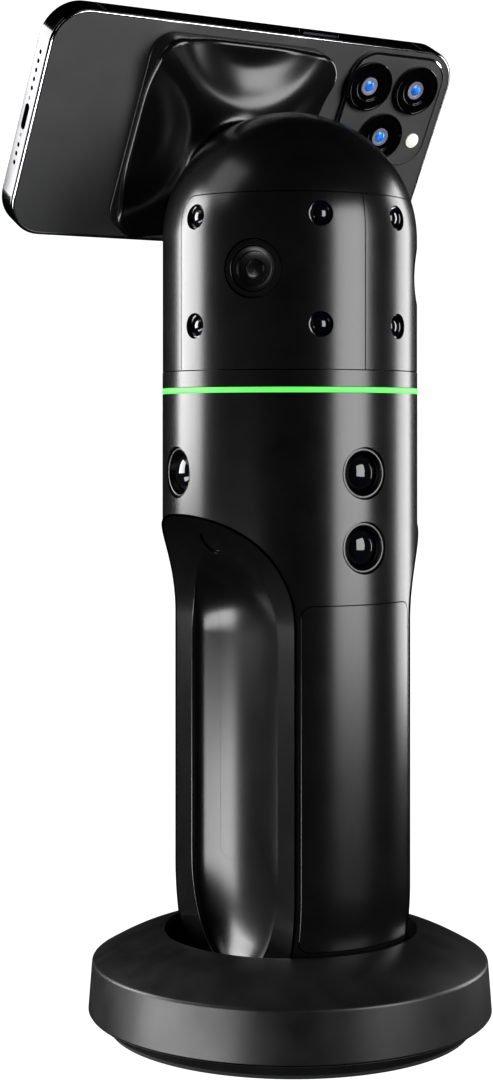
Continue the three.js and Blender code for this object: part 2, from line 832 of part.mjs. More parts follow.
function addPhone(group) {
  place(group, "phone_frame", "phoneFrame", phoneFrame());
  place(group, "phone_back_glass", "phoneGlass", phoneSlab(phone.glassInset, -phone.glass, 0));
  const screen = phoneSlab(phone.glassInset, -phone.thickness, -phone.thickness + phone.glass);
  place(group, "phone_screen", "phoneScreen", screen);
  for (const key of keySpots) place(group, key.name, "phoneFrame", phoneKeyBlock(key, 0));

  const floor = -phone.thickness + phone.glass + 2 * GAP + phoneCell.midPlate;
  const ceiling = -phone.glass - GAP;
  const cellWidth = phone.width - 2 * (phone.wall + phoneCell.sideClearance);
  const cell = block(
    [phone.length * phoneCell.lengthShare, cellWidth, ceiling - floor],
    [-phone.length * phoneCell.shiftShare, 0, (ceiling + floor) / 2],
  );
  place(group, "phone_battery", "battery", cell);
  const deck = new THREE.Group();
  const sideways = phone.width / 2 - plateau.sideInset - plateau.width / 2;
  deck.position.set(plateauLeft + plateau.length / 2, sideways, GAP);
  group.add(deck);
  const outline = roundedRectangle(plateau.length, plateau.width, plateau.corner);
  place(deck, "phone_camera_plateau", "phoneGlass", slab(outline, 0, plateau.height));
  lensSpots.forEach(([x, y], index) => {
    const low = plateau.height + GAP;
    const lens = rod(phoneLens.radius, low, low + phoneLens.height, FACETS / 2);
    place(deck, `phone_lens_${index + 1}`, "lens", lens).position.set(x, y, 0);
  });
}

// ---- Dock ----

// Outside radius of the dock's side wall at a height.
function dockWallAt(height) {
  const rise = (height - dock.bevelHeight) / (dock.rimHeight - dock.bevelHeight);
  return dock.wallRadius - dock.wallTaper * rise;
}

const mouthRadius = bodyRadiusAt(dock.mouthHeight) + dock.socketClearance;
const dockTopSteps = 3;

// Points in from the rim to the socket's mouth, lowered by an offset.
function dockTopPoints(rimRadius, innerRadius, drop) {
  return Array.from({ length: dockTopSteps + 1 }, (_, i) => {
    const t = i / dockTopSteps;
    const straight = dock.rimHeight + (dock.mouthHeight - dock.rimHeight) * t;
    const crown = dock.topCrown * Math.sin(Math.PI * t);
    return [rimRadius + (innerRadius - rimRadius) * t, straight + crown - drop];
  });
}

function socketPoints(offset, low, steps = 3) {
  return Array.from({ length: steps + 1 }, (_, i) => {
    const height = dock.mouthHeight + ((low - dock.mouthHeight) * i) / steps;
    return [bodyRadiusAt(height) + dock.socketClearance + offset, height];
  });
}

function dockShell() {
  const rim = dockWallAt(dock.rimHeight);
  const innerFloor = dock.socketFloor - dock.wall;
  const outside = [
    [dock.wallRadius - dock.wall, dock.bevelHeight],
    [dock.wallRadius, dock.bevelHeight],
    ...dockTopPoints(rim, mouthRadius, 0),
  ];
  const socket = socketPoints(0, dock.socketFloor).slice(1);
  const under = socketPoints(dock.wall, innerFloor).slice(1).reverse();
  const lid = dockTopPoints(rim - dock.wall, mouthRadius + dock.wall, dock.wall).slice(0, -1).reverse();
  const profile = [[0, innerFloor], ...under, ...lid, ...outside, ...socket, [0, dock.socketFloor]];
  let shell = solid(revolve(profile));
  for (const side of [-1, 1]) {
    const bore = rod(contact.radius + GAP, innerFloor - OVERRUN, dock.socketFloor + OVERRUN);
    shell = shell.subtract(solid(bore.translate(side * contact.offset, 0, 0)));
  }
  const slot = block(
    [inlet.width + 2 * GAP, 3 * dock.wall, inlet.height + 2 * GAP],
    [0, dockWallAt(inlet.centre), inlet.centre],
  );
  return shell.subtract(solid(slot));
}

function basePlate() {
  const foot = dock.wallRadius - dock.footInset;
  const low = dock.footThickness + GAP / 2;
  const edge = dock.bevelHeight - GAP;
  return revolve([
    [0, low],
    [foot + 0.6, low],
    [dock.wallRadius - GAP, edge],
    [dock.wallRadius - dock.wall, edge],
    [foot - 0.4, low + dock.plate],
    [0, low + dock.plate],
  ]);
}

function powerInlet() {
  const back = dockWallAt(inlet.centre) - inlet.wall - inlet.depth;
  const outline = (inset) =>
    roundedRectangle(inlet.width - 2 * inset, inlet.height - 2 * inset, (inlet.height / 2 - inset) * 0.97);
  const tube = solid(frontSlab(outline(0), -inlet.depth, 0));
  const mouth = solid(frontSlab(outline(inlet.wall), -inlet.depth - OVERRUN, -2 * inlet.wall));
  return tube.subtract(mouth).translate([0, back, inlet.centre]);
}

function addDock(group) {
  place(group, "dock_shell", "dockBlack", dockShell());
  place(group, "dock_base_plate", "dockBlack", basePlate());
  place(group, "dock_foot", "rubber", rod(dock.wallRadius - dock.footInset, 0, dock.footThickness, FACETS));

  const plateTop = dock.footThickness + GAP / 2 + dock.plate;
  const ballastLow = plateTop + GAP;
  const ballastHigh = ballastLow + dock.ballastHeight;
  const cupOuter = bodyRadiusAt(ballastHigh) + dock.socketClearance + dock.wall;
  const ballastOuter = dock.wallRadius - dock.footInset - 1;
  place(group, "dock_ballast", "steel", ring(cupOuter + GAP, ballastOuter, ballastLow, ballastHigh));

  const boardOuter = ballastOuter - dockBoard.outerInset;
  const boardInner = cupOuter + dockBoard.cupClearance;
  const boardTop = inlet.centre - inlet.height / 2 - GAP;
  const circuit = block(
    [dockBoard.width, boardOuter - boardInner, board.thickness],
    [0, (boardOuter + boardInner) / 2, boardTop - board.thickness / 2],
  );
  place(group, "dock_board", "board", circuit);
  place(group, "dock_power_inlet", "steel", powerInlet());

  for (const [name, side] of sides) {
    const pin = rod(contact.radius, dock.socketFloor - dock.wall - contact.proud, dock.socketFloor);
    place(group, `${name}_dock_contact`, "brass", pin).position.x = side * contact.offset;
  }
}

// ---- Assembly ----

const assembly = new THREE.Group();
addDock(assembly);

const scanner = new THREE.Group();
assembly.add(scanner);
addBody(scanner);
addBattery(scanner);
addInternals(scanner);
addHead(scanner);

const mount = new THREE.Group();
placeMountGroup(mount);
scanner.add(mount);
addMount(mount);

const phoneGroup = new THREE.Group();
phoneGroup.position.x = phoneShift;
mount.add(phoneGroup);
addPhone(phoneGroup);

export default assembly;
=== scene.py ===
"""The looks of the handheld imaging scanner in its charging dock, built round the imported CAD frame.

Shapes are worked out in millimetres in the row frame (+Z up, the scanner's front towards -Y) and become
metres when a mesh is made. Sections: sizes, mesh tools, materials, then one function per sub-part.
"""

import math

import bmesh
import bpy
import numpy as np
from mathutils import Matrix, Vector
from mathutils.bvhtree import BVHTree


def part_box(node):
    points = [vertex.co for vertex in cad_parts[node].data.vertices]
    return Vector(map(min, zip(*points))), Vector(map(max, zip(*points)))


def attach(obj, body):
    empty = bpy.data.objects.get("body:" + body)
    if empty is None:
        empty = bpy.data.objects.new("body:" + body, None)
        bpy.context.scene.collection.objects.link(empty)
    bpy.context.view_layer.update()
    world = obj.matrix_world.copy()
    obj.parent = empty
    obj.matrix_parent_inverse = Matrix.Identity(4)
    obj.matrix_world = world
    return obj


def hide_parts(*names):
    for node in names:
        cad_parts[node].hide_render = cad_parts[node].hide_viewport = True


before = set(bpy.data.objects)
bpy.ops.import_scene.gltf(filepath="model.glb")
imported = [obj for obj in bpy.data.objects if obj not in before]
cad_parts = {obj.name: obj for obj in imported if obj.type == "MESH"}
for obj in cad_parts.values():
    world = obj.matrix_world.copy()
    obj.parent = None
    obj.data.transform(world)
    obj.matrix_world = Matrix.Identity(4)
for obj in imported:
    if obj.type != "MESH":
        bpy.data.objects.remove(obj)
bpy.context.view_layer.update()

MM = 0.001


def node_box(node):
    """Lowest and highest corner of a CAD node, in millimetres."""
    low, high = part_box(node)
    return np.array(low) / MM, np.array(high) / MM


# ---- Sizes (mm), from the frame where it holds them ----

BODY_LOW, BODY_HIGH = node_box("body_shell")
HEAD_HIGH = node_box("head_shell")[1]
DOCK_HIGH = node_box("dock_shell")[1]
RING_LOW, RING_HIGH = node_box("light_ring")
PANEL_LOW, PANEL_HIGH = node_box("right_grip_panel")
WINDOW_LOW, WINDOW_HIGH = node_box("right_window")

# The glowing strip is a little less tall than the ring that carries it.
RING_MARGIN = 0.45
RING_LOW[2] += RING_MARGIN
RING_HIGH[2] -= RING_MARGIN

GAP = 0.3
BASE = BODY_LOW[2]
TOP = BODY_HIGH[2]
RADIUS = BODY_HIGH[1]
WALL = 2.4
FLOOR = 2.6
ROUNDING_TOP = BASE + 40.7
ROUNDING_RADIUS = 85.0
FLAT = 21.2
RUNOUT_LOW = TOP - 76.6
RUNOUT_RADIUS = 38.4
COLLAR_BORE = 34.0
SHELF = TOP - 14.6

SCOOP_DEPTH = 9.5
SCOOP_HALF = 24.22
SCOOP_LOW = BASE + 44.7
SCOOP_HIGH = RUNOUT_LOW - 6.0
SCOOP_DOWN = 33.0
SCOOP_UP = 28.0
SCOOP_FADE = 2.2
PANEL_THICKNESS = 1.2
PANEL_CORNER = 3.5
SCOOP_WALL = PANEL_THICKNESS + GAP + 1.4
PANEL_SEAM = 0.06

DOOR_HALF = 20.0
DOOR_LOW = BASE + 24.2
DOOR_HIGH = TOP - 69.9
DOOR_CORNER = 3.5
DOOR_HOLLOW = 5.0

CAMERA_POCKET = 7.9
CAMERA_DEPTH = 9.0
BORE_BACKING = 2.0
CAMERA_RIM = 1.5
CAMERA_SINK = 0.9
CAMERA_CONE = 2.4
LENS_SHOULDER = 3.7
LENS_RISE = 2.9
EDGE_ROUND = 0.4
CONTACT_RADIUS = 3.0
CONTACT_SPREAD = 12.0
CUT_OVER = 3.0

RING_INNER = RING_HIGH[1] - 3.4
BUTTON_RADIUS = 3.85
BUTTON_LENGTH = 6.0
BUTTON_RISE = 24.0
BUTTON_SINK = 0.5

HEAD_BASE = WINDOW_LOW[2]
HEAD_RADIUS = HEAD_HIGH[0]
DOME_CENTRE = np.array([0.0, 0.0, HEAD_BASE + 41.4])
HEAD_WALL = 3.5
WINDOW_THICKNESS = 1.6
WINDOW_TOP = WINDOW_HIGH[2]
WINDOW_CORNER = 5.0
SEAM = 0.3
DEPTH_RADIUS = 9.0
DEPTH_INNER = 7.05
DEPTH_LENGTH = 8.0
DEPTH_RECESS = 1.15
EMITTER_RADIUS = 3.85
EMITTER_LENGTH = 5.0

# The head's distance field is meshed on a grid of this step, nudged until the mesh closes.
NET_STEP = 0.8
NET_MARGIN = 3.0
NET_BELOW = 4.0
NET_REACH = (24.0, 42.0)
NET_NUDGES = (0.0, 0.13, 0.29, 0.41, 0.57)
NET_ROUNDS = 5
LEAST_STEEPNESS = 0.05
SLOPE_SCALE = 0.8
BLEND_START = 6.0
BLEND_LENGTH = 8.0
BLEND_LEAST = 0.05
SPIGOT_LENGTH = 4.5
SPIGOT_WALL = 2.2
MAGNET_INNER = 19.0
MAGNET_OUTER = 26.0
MAGNET_HEIGHT = 2.0

PAD_TILT = math.radians(29)
PAD_HALF = 34.5
PAD_CORNER = 8.5
PAD_LIFT = 12.1
PAD_RIM = 4.6
PAD_FRONT = 8.4
PAD_RISE = 0.1
PAD_REACH = 46.0
PAD_EDGE = 1.3
PAD_OVER = 3.0
CRESCENT_CENTRE = 44.4
CRESCENT_RADIUS = 27.4
CRESCENT_WIDTH = 13.0
CRESCENT_SOFTNESS = 2.4
NECK_BLEND = 11.0
NECK_PAD_BLEND = 5.0
NECK_LOW = np.array([0.0, -1.0, 6.0])
NECK_HIGH = np.array([0.0, -9.0, 24.0])
NECK_RADII = (11.0, 19.0)
PLATE_THICKNESS = 1.5
PLATE_EDGE = 0.45
PHONE_DISTANCE = HEAD_RADIUS + 5.75 + 9.0

PHONE_LENGTH = 157.4
PHONE_WIDTH = 76.7
PHONE_THICKNESS = 8.2
PHONE_CORNER = 12.5
PHONE_SHIFT = 9.0
PHONE_CENTRE = (PHONE_SHIFT, 0.0)
PHONE_OUTLINE = (PHONE_LENGTH, PHONE_WIDTH, PHONE_CORNER)
PHONE_STEPS = 14
PLATEAU_LENGTH = 38.8
PLATEAU_WIDTH = 39.5
PLATEAU_CORNER = 9.0
PLATEAU_OUTLINE = (PLATEAU_LENGTH, PLATEAU_WIDTH, PLATEAU_CORNER)
PLATEAU_HEIGHT = 1.5
PLATEAU_CENTRE = (PHONE_LENGTH / 2 - 4.7 - PLATEAU_LENGTH / 2, PHONE_WIDTH / 2 - 2.35 - PLATEAU_WIDTH / 2)
LENS_SPOTS = ((-11.6, 7.9), (8.0, 8.2), (-0.8, -9.7))
FLASH_SPOT = (13.7, -10.1)
BAND_WALL = 2.4
GLASS_INSET = 0.9
GLASS_THICKNESS = 0.8
GLASS_EDGE = 0.3
KEY_FLAT = 0.02
SLOT_REACH = 6.0
HOLE_REACH = 3.0
PORT_SIZE = (2.9, 8.6, 1.4)
SPEAKER_RADIUS = 0.75
SPEAKER_STEP = 3.0
SPEAKER_ROWS = (9.5, 24.0, 18.0)
SCREW_SPREAD = 6.2
ANTENNA_SIZE = (1.2, 7.0, 0.2, -1.2, 0.015)
ANTENNA_SPOTS = ((-62.0, -1), (-62.0, 1), (62.0, -1), (62.0, 1))
KEY_NODES = ("phone_side_button", "phone_volume_up", "phone_volume_down")

PAD_NORMAL = np.array([0, math.cos(PAD_TILT), math.sin(PAD_TILT)])
PAD_UP = np.array([0, -math.sin(PAD_TILT), math.cos(PAD_TILT)])
MOUNT_ORIGIN = DOME_CENTRE + PAD_NORMAL * PHONE_DISTANCE + PAD_UP * PAD_LIFT
MOUNT_PLACE = Matrix.Translation(MOUNT_ORIGIN) @ Matrix.Rotation(math.pi / 2 + PAD_TILT, 4, "X")
PAD_BACK = GAP + PLATE_THICKNESS + GAP

WALL_RADIUS = 63.2
BEVEL_HEIGHT = 5.8
RIM_HEIGHT = 21.4
RIM_DRAFT = 1.2
CROWN = 1.1
SOCKET_FLOOR = 7.0
SOCKET_CLEARANCE = 1.4
DOCK_WALL = 2.5
INLET_CORNER = 1.6
INLET_REACH = 8.0
FOOT_INSET = 6.6
FOOT_HEIGHT = 1.2
BASE_HEIGHT = 1.35
BASE_THICKNESS = 1.8

CAMERA_LOCATION = (-0.3729, -0.5429, 0.1881)
CAMERA_TURN = -33.3
CAMERA_LENS = 69.76
CAMERA_SENSOR = 36.0
CAMERA_SHIFT = -0.1059
VIEW_AZIMUTH = -34.5
FLOOR_HALF = 6000.0
ROOM_STRENGTH = 0.004

# ---- Mesh tools ----


def new_object(name, vertices, faces, smooth_angle=35.0):
    """A mesh object from millimetre points, with edges sharper than an angle (degrees) left sharp."""
    mesh = bpy.data.meshes.new(name)
    mesh.from_pydata((np.asarray(vertices, float) * MM).tolist(), [], [tuple(face) for face in faces])
    work = bmesh.new()
    work.from_mesh(mesh)
    bmesh.ops.remove_doubles(work, verts=work.verts, dist=1e-7)
    bmesh.ops.dissolve_degenerate(work, edges=work.edges, dist=1e-8)
    work.to_mesh(mesh)
    work.free()
    obj = bpy.data.objects.new(name, mesh)
    bpy.context.scene.collection.objects.link(obj)
    if smooth_angle:
        shade(obj, smooth_angle)
    return obj


def shade(obj, angle):
    obj.data.shade_smooth()
    obj.data.set_sharp_from_angle(angle=math.radians(angle))


def applied(obj):
    """Applies the object's modifiers to its mesh."""
    graph = bpy.context.evaluated_depsgraph_get()
    mesh = bpy.data.meshes.new_from_object(obj.evaluated_get(graph))
    obj.modifiers.clear()
    obj.data = mesh
    return obj


def weighted(obj):
    """Smooth normals that lean towards the larger faces, so narrow rounded edges shade cleanly."""
    modifier = obj.modifiers.new("normals", "WEIGHTED_NORMAL")
    modifier.keep_sharp = True
    return applied(obj)


def boolean(obj, other, operation="DIFFERENCE"):
    """Cuts, joins or intersects with another closed object, which is used up."""
    modifier = obj.modifiers.new("boolean", "BOOLEAN")
    modifier.operation = operation
    modifier.solver = "MANIFOLD"
    modifier.object = other
    applied(obj)
    bpy.data.objects.remove(other)
    return obj


def copy_of(obj, name):
    twin = obj.copy()
    twin.data = obj.data.copy()
    twin.name = name
    bpy.context.scene.collection.objects.link(twin)
    return twin


def placed(obj, matrix):
    """Moves the mesh by a matrix whose shift is in millimetres."""
    shift = Matrix(matrix)
    shift.translation = shift.translation * MM
    obj.data.transform(shift)
    if shift.determinant() < 0:
        obj.data.flip_normals()
    return obj


MIRROR_X = Matrix.Diagonal((-1, 1, 1, 1))
PRISM_TURNS = {
    "x": Matrix(((0, 0, 1, 0), (1, 0, 0, 0), (0, 1, 0, 0), (0, 0, 0, 1))),
    "y": Matrix(((1, 0, 0, 0), (0, 0, -1, 0), (0, 1, 0, 0), (0, 0, 0, 1))),
    "z": Matrix.Identity(4),
}
AXIS_RADIUS = 1e-4
LEAST_CORNER = 0.05
SLAB_ANGLE = 30.0
BLOCK_WIDTH = 400.0
BLOCK_HEIGHT = 200.0
BLOCK_CORNER = 20.0


def on_wall(azimuth, radius, height):
    """A place on the upright wall: +Z points outwards there, and +Y points up. Azimuth is from the front."""
    turn = Matrix.Rotation(math.radians(azimuth), 4, "Z")
    out = Matrix.Translation((0, -radius, 0)) @ Matrix.Rotation(math.pi / 2, 4, "X")
    return Matrix.Translation((0, 0, height)) @ turn @ out


def spot_of(node, radius):
    """Azimuth and height of a piece on the upright wall, as a place at that radius."""
    low, high = node_box(node)
    x, y, z = (low + high) / 2
    return on_wall(math.degrees(math.atan2(x, -y)), radius, z)


def bridge(loops, closed_profile=False):
    """Quads between successive closed loops of equal length; the points are numbered loop by loop."""
    count, size = len(loops), len(loops[0])
    faces = []
    for row in range(count if closed_profile else count - 1):
        low, high = row * size, ((row + 1) % count) * size
        for i in range(size):
            j = (i + 1) % size
            faces.append((low + i, low + j, high + j, high + i))
    return faces


def loft(name, loops, closed_profile=False, angle=35.0):
    """A closed skin through loops that run counter-clockwise seen from the last one, its ends capped.

    Loops of a closed profile join the last to the first instead."""
    faces = bridge(loops, closed_profile)
    size = len(loops[0])
    if not closed_profile:
        faces.append(tuple(range(size))[::-1])
        faces.append(tuple(range((len(loops) - 1) * size, len(loops) * size)))
    return new_object(name, np.concatenate(loops), faces, angle)


def profile_loft(name, points, loop_at, angle):
    """Lofts a (width, height, rounding) profile; one that ends where it starts closes on itself."""
    loops = [loop_at(width, height) for width, height in rounded_profile(points)]
    closed = points[0] == points[-1]
    return loft(name, loops[:-1] if closed else loops, closed, angle)


def rounded_profile(points, steps=3):
    """Points of (radius, height, rounding): each corner is replaced by an arc that starts a rounding away."""
    result = []
    for i, (r, z, rounding) in enumerate(points):
        corner = np.array([r, z])
        if not rounding or i in (0, len(points) - 1):
            result.append(corner)
            continue
        before = np.array(points[i - 1][:2]) - corner
        after = np.array(points[i + 1][:2]) - corner
        start = corner + before / np.linalg.norm(before) * rounding
        end = corner + after / np.linalg.norm(after) * rounding
        for step in range(steps + 1):
            t = step / steps
            result.append((1 - t) ** 2 * start + 2 * t * (1 - t) * corner + t**2 * end)
    return result


def lathe(name, points, segments=96, angle=30.0):
    """Revolves (radius, height, rounding) points, which go up the outside, about the vertical axis."""
    turns = np.linspace(0, 2 * np.pi, segments, endpoint=False)

    def circle(radius, height):
        reach = max(radius, AXIS_RADIUS)
        return np.stack([reach * np.cos(turns), reach * np.sin(turns), np.full(segments, height)], 1)

    return profile_loft(name, points, circle, angle)


def rounded_rectangle(width, height, corner, steps=8):
    """Counter-clockwise points of a rounded rectangle about the origin."""
    turns = np.linspace(0, np.pi / 2, steps + 1)
    points = []
    for quarter, (sx, sy) in enumerate(((1, 1), (-1, 1), (-1, -1), (1, -1))):
        angle = turns + quarter * np.pi / 2
        x = sx * (width / 2 - corner) + corner * np.cos(angle)
        y = sy * (height / 2 - corner) + corner * np.sin(angle)
        points.append(np.stack([x, y], 1))
    return np.concatenate(points)


def slab(name, width, height, corner, profile, steps=8):
    """A rounded rectangle lofted through (inset, level, rounding) points from bottom to top."""

    def outline(inset, level):
        rounding = max(corner - inset, LEAST_CORNER)
        points = rounded_rectangle(width - 2 * inset, height - 2 * inset, rounding, steps)
        return np.column_stack([points, np.full(len(points), level)])

    return profile_loft(name, profile, outline, SLAB_ANGLE)


def prism(name, outline, low, high, axis):
    """A straight prism of a 2-D outline along an axis: 'x' puts the outline in YZ, 'y' in XZ, 'z' in XY."""
    loops = [np.column_stack([outline, np.full(len(outline), level)]) for level in (low, high)]
    return placed(loft(name, loops, angle=0), PRISM_TURNS[axis])


def block_between(name, low, high):
    """A block much wider than any piece, between two levels."""
    return prism(name, rounded_rectangle(BLOCK_WIDTH, BLOCK_WIDTH, BLOCK_CORNER), low, high, "z")


def carry_normals(obj, source, reach=0.02):
    """Copies the source's smooth normals to the corners of obj that still lie on the source's surface."""
    base = source.data
    base.calc_loop_triangles()
    corner_normals = np.zeros(len(base.loops) * 3)
    base.corner_normals.foreach_get("vector", corner_normals)
    corner_normals = corner_normals.reshape(-1, 3)
    points = [v.co for v in base.vertices]
    triangles = [tuple(t.vertices) for t in base.loop_triangles]
    corners = [tuple(t.loops) for t in base.loop_triangles]
    tree = BVHTree.FromPolygons(points, triangles)
    mesh = obj.data
    result = np.zeros((len(mesh.loops), 3))
    for polygon in mesh.polygons:
        hits = []
        for index in polygon.vertices:
            toward = polygon.center.lerp(mesh.vertices[index].co, 0.999)
            hit, facing, triangle, distance = tree.find_nearest(toward, reach * MM)
            if hit is None or facing.dot(polygon.normal) < 0.7:
                break
            hits.append((hit, triangle))
        if len(hits) < len(polygon.vertices):
            continue
        for loop, (hit, triangle) in zip(polygon.loop_indices, hits):
            a, b, c = (points[i] for i in triangles[triangle])
            area = (b - a).cross(c - a)
            scale = 1 / max(area.length_squared, 1e-30)
            wa = (b - hit).cross(c - hit).dot(area) * scale
            wb = (c - hit).cross(a - hit).dot(area) * scale
            na, nb, nc = (corner_normals[i] for i in corners[triangle])
            result[loop] = wa * na + wb * nb + (1 - wa - wb) * nc
    mesh.normals_split_custom_set(result.tolist())
    return obj


def finish_piece(obj, slot, body, *nodes, finish=None):
    """Gives a piece its slot's finish, or another one, and its body, and hides the CAD nodes that it stands
    for.
    """
    obj.data.materials.clear()
    obj.data.materials.append(finish or FINISHES[slot])
    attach(obj, body)
    if nodes:
        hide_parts(*nodes)


# ---- Materials ----


COAT_ROUGHNESS = 0.05
GRAIN_DEPTH = 0.00002


def set_inputs(node, values):
    """Sets a shader node's sockets by name."""
    for socket, value in values.items():
        node.inputs[socket].default_value = value


def node_material(
    name,
    colour,
    roughness,
    metallic=0.0,
    specular=0.5,
    coat=0.0,
    shade_range=0.25,
    cloud_scale=90.0,
    grain_scale=2600.0,
    grain_bump=0.15,
    rough_range=0.12,
    stretch=(1.0, 1.0, 1.0),
):
    """A procedural finish: cloudy colour, uneven roughness and a fine bump, all at real sizes."""
    material = bpy.data.materials.new(name)
    material.use_nodes = True
    nodes, links = material.node_tree.nodes, material.node_tree.links
    shader = nodes["Principled BSDF"]
    coordinates = nodes.new("ShaderNodeTexCoord")
    mapping = nodes.new("ShaderNodeMapping")
    mapping.inputs["Scale"].default_value = stretch
    links.new(coordinates.outputs["Object"], mapping.inputs["Vector"])
    clouds = nodes.new("ShaderNodeTexNoise")
    set_inputs(clouds, {"Scale": cloud_scale, "Detail": 4.0})
    grain = nodes.new("ShaderNodeTexNoise")
    set_inputs(grain, {"Scale": grain_scale, "Detail": 2.0})
    for noise in (clouds, grain):
        links.new(mapping.outputs["Vector"], noise.inputs["Vector"])
    ramp = nodes.new("ShaderNodeValToRGB")
    dark, light = ramp.color_ramp.elements
    dark.position, light.position = 0.3, 0.7
    dark.color = (*(c * (1 - shade_range) for c in colour), 1)
    light.color = (*(min(1, c * (1 + shade_range)) for c in colour), 1)
    links.new(clouds.outputs["Fac"], ramp.inputs["Fac"])
    links.new(ramp.outputs["Color"], shader.inputs["Base Color"])
    mixed = nodes.new("ShaderNodeMath")
    mixed.operation = "MULTIPLY_ADD"
    links.new(grain.outputs["Fac"], mixed.inputs[0])
    mixed.inputs[1].default_value = 0.5
    links.new(clouds.outputs["Fac"], mixed.inputs[2])
    spread = nodes.new("ShaderNodeMapRange")
    low, high = max(0.0, roughness * (1 - rough_range)), min(1.0, roughness * (1 + rough_range))
    set_inputs(spread, {"From Min": 0.45, "From Max": 1.05, "To Min": low, "To Max": high})
    links.new(mixed.outputs["Value"], spread.inputs["Value"])
    links.new(spread.outputs["Result"], shader.inputs["Roughness"])
    bump = nodes.new("ShaderNodeBump")
    set_inputs(bump, {"Strength": grain_bump, "Distance": GRAIN_DEPTH})
    links.new(grain.outputs["Fac"], bump.inputs["Height"])
    links.new(bump.outputs["Normal"], shader.inputs["Normal"])
    set_inputs(shader, {"Metallic": metallic, "Specular IOR Level": specular})
    set_inputs(shader, {"Coat Weight": coat, "Coat Roughness": COAT_ROUGHNESS})
    return material


def glowing(material, colour, strength):
    shader = material.node_tree.nodes["Principled BSDF"]
    set_inputs(shader, {"Emission Color": (*colour, 1), "Emission Strength": strength})
    return material


SHELL_BLACK = {"colour": (0.004, 0.004, 0.0043), "roughness": 0.24, "rough_range": 0.05, "grain_bump": 0.015}
CLEAR = {"rough_range": 0.3, "grain_bump": 0.0}
SLOT_LOOKS = {
    "body_satin": SHELL_BLACK,
    "door_satin": SHELL_BLACK,
    "grip_gloss": SHELL_BLACK,
    "window_gloss": SHELL_BLACK,
    "button_gloss": {"colour": (0.006, 0.006, 0.006), "roughness": 0.12, "grain_bump": 0.03},
    "dock_satin": {
        "colour": (0.008, 0.008, 0.0083),
        "roughness": 0.4,
        "grain_bump": 0.12,
        "grain_scale": 3600.0,
        "shade_range": 0.35,
    },
    "dock_plate": {"colour": (0.012, 0.012, 0.012), "roughness": 0.5, "grain_bump": 0.2},
    "foot_rubber": {"colour": (0.01, 0.01, 0.01), "roughness": 0.8, "grain_bump": 0.5},
    "ballast_steel": {"colour": (0.42, 0.43, 0.44), "roughness": 0.38, "metallic": 1.0, "stretch": (1, 1, 6)},
    "board_green": {"colour": (0.01, 0.09, 0.035), "roughness": 0.45, "coat": 0.4, "cloud_scale": 400.0},
    "contact_brass": {"colour": (0.72, 0.48, 0.16), "roughness": 0.25, "metallic": 1.0},
    "barrel_black": {"colour": (0.004, 0.004, 0.0042), "roughness": 0.22, "grain_bump": 0.04},
    "lens_glass": {"colour": (0.003, 0.0035, 0.005), "roughness": 0.05, **CLEAR},
    "light_green": {"colour": (0.02, 0.2, 0.02), "roughness": 0.5, "cloud_scale": 300.0},
    "battery_grey": {"colour": (0.035, 0.036, 0.04), "roughness": 0.55, "grain_bump": 0.4},
    "chassis_metal": {"colour": (0.5, 0.51, 0.53), "roughness": 0.36, "metallic": 1.0, "stretch": (1, 8, 1)},
    "phone_metal": {"colour": (0.045, 0.045, 0.047), "roughness": 0.12, "metallic": 1.0, "grain_bump": 0.01},
    "phone_glass": {
        "colour": (0.078, 0.078, 0.079),
        "roughness": 0.38,
        "rough_range": 0.04,
        "shade_range": 0.06,
        "grain_bump": 0.03,
    },
    "phone_lens": {"colour": (0.002, 0.002, 0.0025), "roughness": 0.06, **CLEAR},
    "phone_display": {"colour": (0.004, 0.004, 0.005), "roughness": 0.06, "coat": 1.0, "grain_bump": 0.0},
}
FINISHES = {slot: node_material(slot, **look) for slot, look in SLOT_LOOKS.items()}
glowing(FINISHES["light_green"], (0.17, 1.0, 0.17), 0.9)
# The pupils' blue is partly painted light: they glow of their own, though a lens holds no lamp.
PUPIL_PAINTED_GLOW = node_material("pupil_painted_glow", (0.03, 0.2, 0.7), 0.08, cloud_scale=700.0, shade_range=0.6)
glowing(PUPIL_PAINTED_GLOW, (0.03, 0.25, 0.9), 0.25)
DEPTH_GLASS = node_material("depth_glass", (0.003, 0.003, 0.0035), 0.3, specular=0.35, grain_bump=0.0)
LENS_RING = node_material("lens_ring", (0.3, 0.28, 0.34), 0.3, metallic=0.2)
FLASH_WHITE = node_material("flash_white", (0.85, 0.83, 0.78), 0.3, cloud_scale=900.0)
glowing(FLASH_WHITE, (1, 0.98, 0.93), 0.25)
STEEL_BRIGHT = node_material("steel_bright", (0.7, 0.7, 0.72), 0.12, metallic=1.0)
PORT_BLACK = node_material("port_black", (0.004, 0.004, 0.004), 0.5)
ANTENNA_GREY = node_material("antenna_grey", (0.03, 0.03, 0.032), 0.35)


def dress_cad_nodes():
    """Gives every CAD node its slot's procedural finish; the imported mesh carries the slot's name."""
    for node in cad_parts.values():
        for place in node.material_slots:
            place.material = FINISHES[place.material.name]


# ---- Scanner body ----

# Mesh steps along the flat's edge, by stretch, and from it outwards, over the strip and into the scoop.
BOTTOM_STEPS, ROUND_STEPS, SIDE_STEPS, TIP_STEPS = 10, 30, 22, 46
OUTWARD_STEPS, STRIP_STEPS, SCOOP_STEPS = 14, 6, 26
TIP_SPACING = 0.8
# Points of a dense line, and how many of the scoop's lower arc face the flat's bottom edge.
DENSE = 200
BOTTOM_SHARE = 70
CAMERAS = ("front_upper_camera", "front_lower_camera", "left_camera", "right_camera")
SIDES = (("left", -1), ("right", 1))


def body_radius(z, inset=0.0):
    """The handle's radius at a height: straight, but narrowing towards the foot."""
    below = np.maximum(0, ROUNDING_TOP - z)
    return RADIUS - ROUNDING_RADIUS + np.sqrt(ROUNDING_RADIUS**2 - below**2) - inset


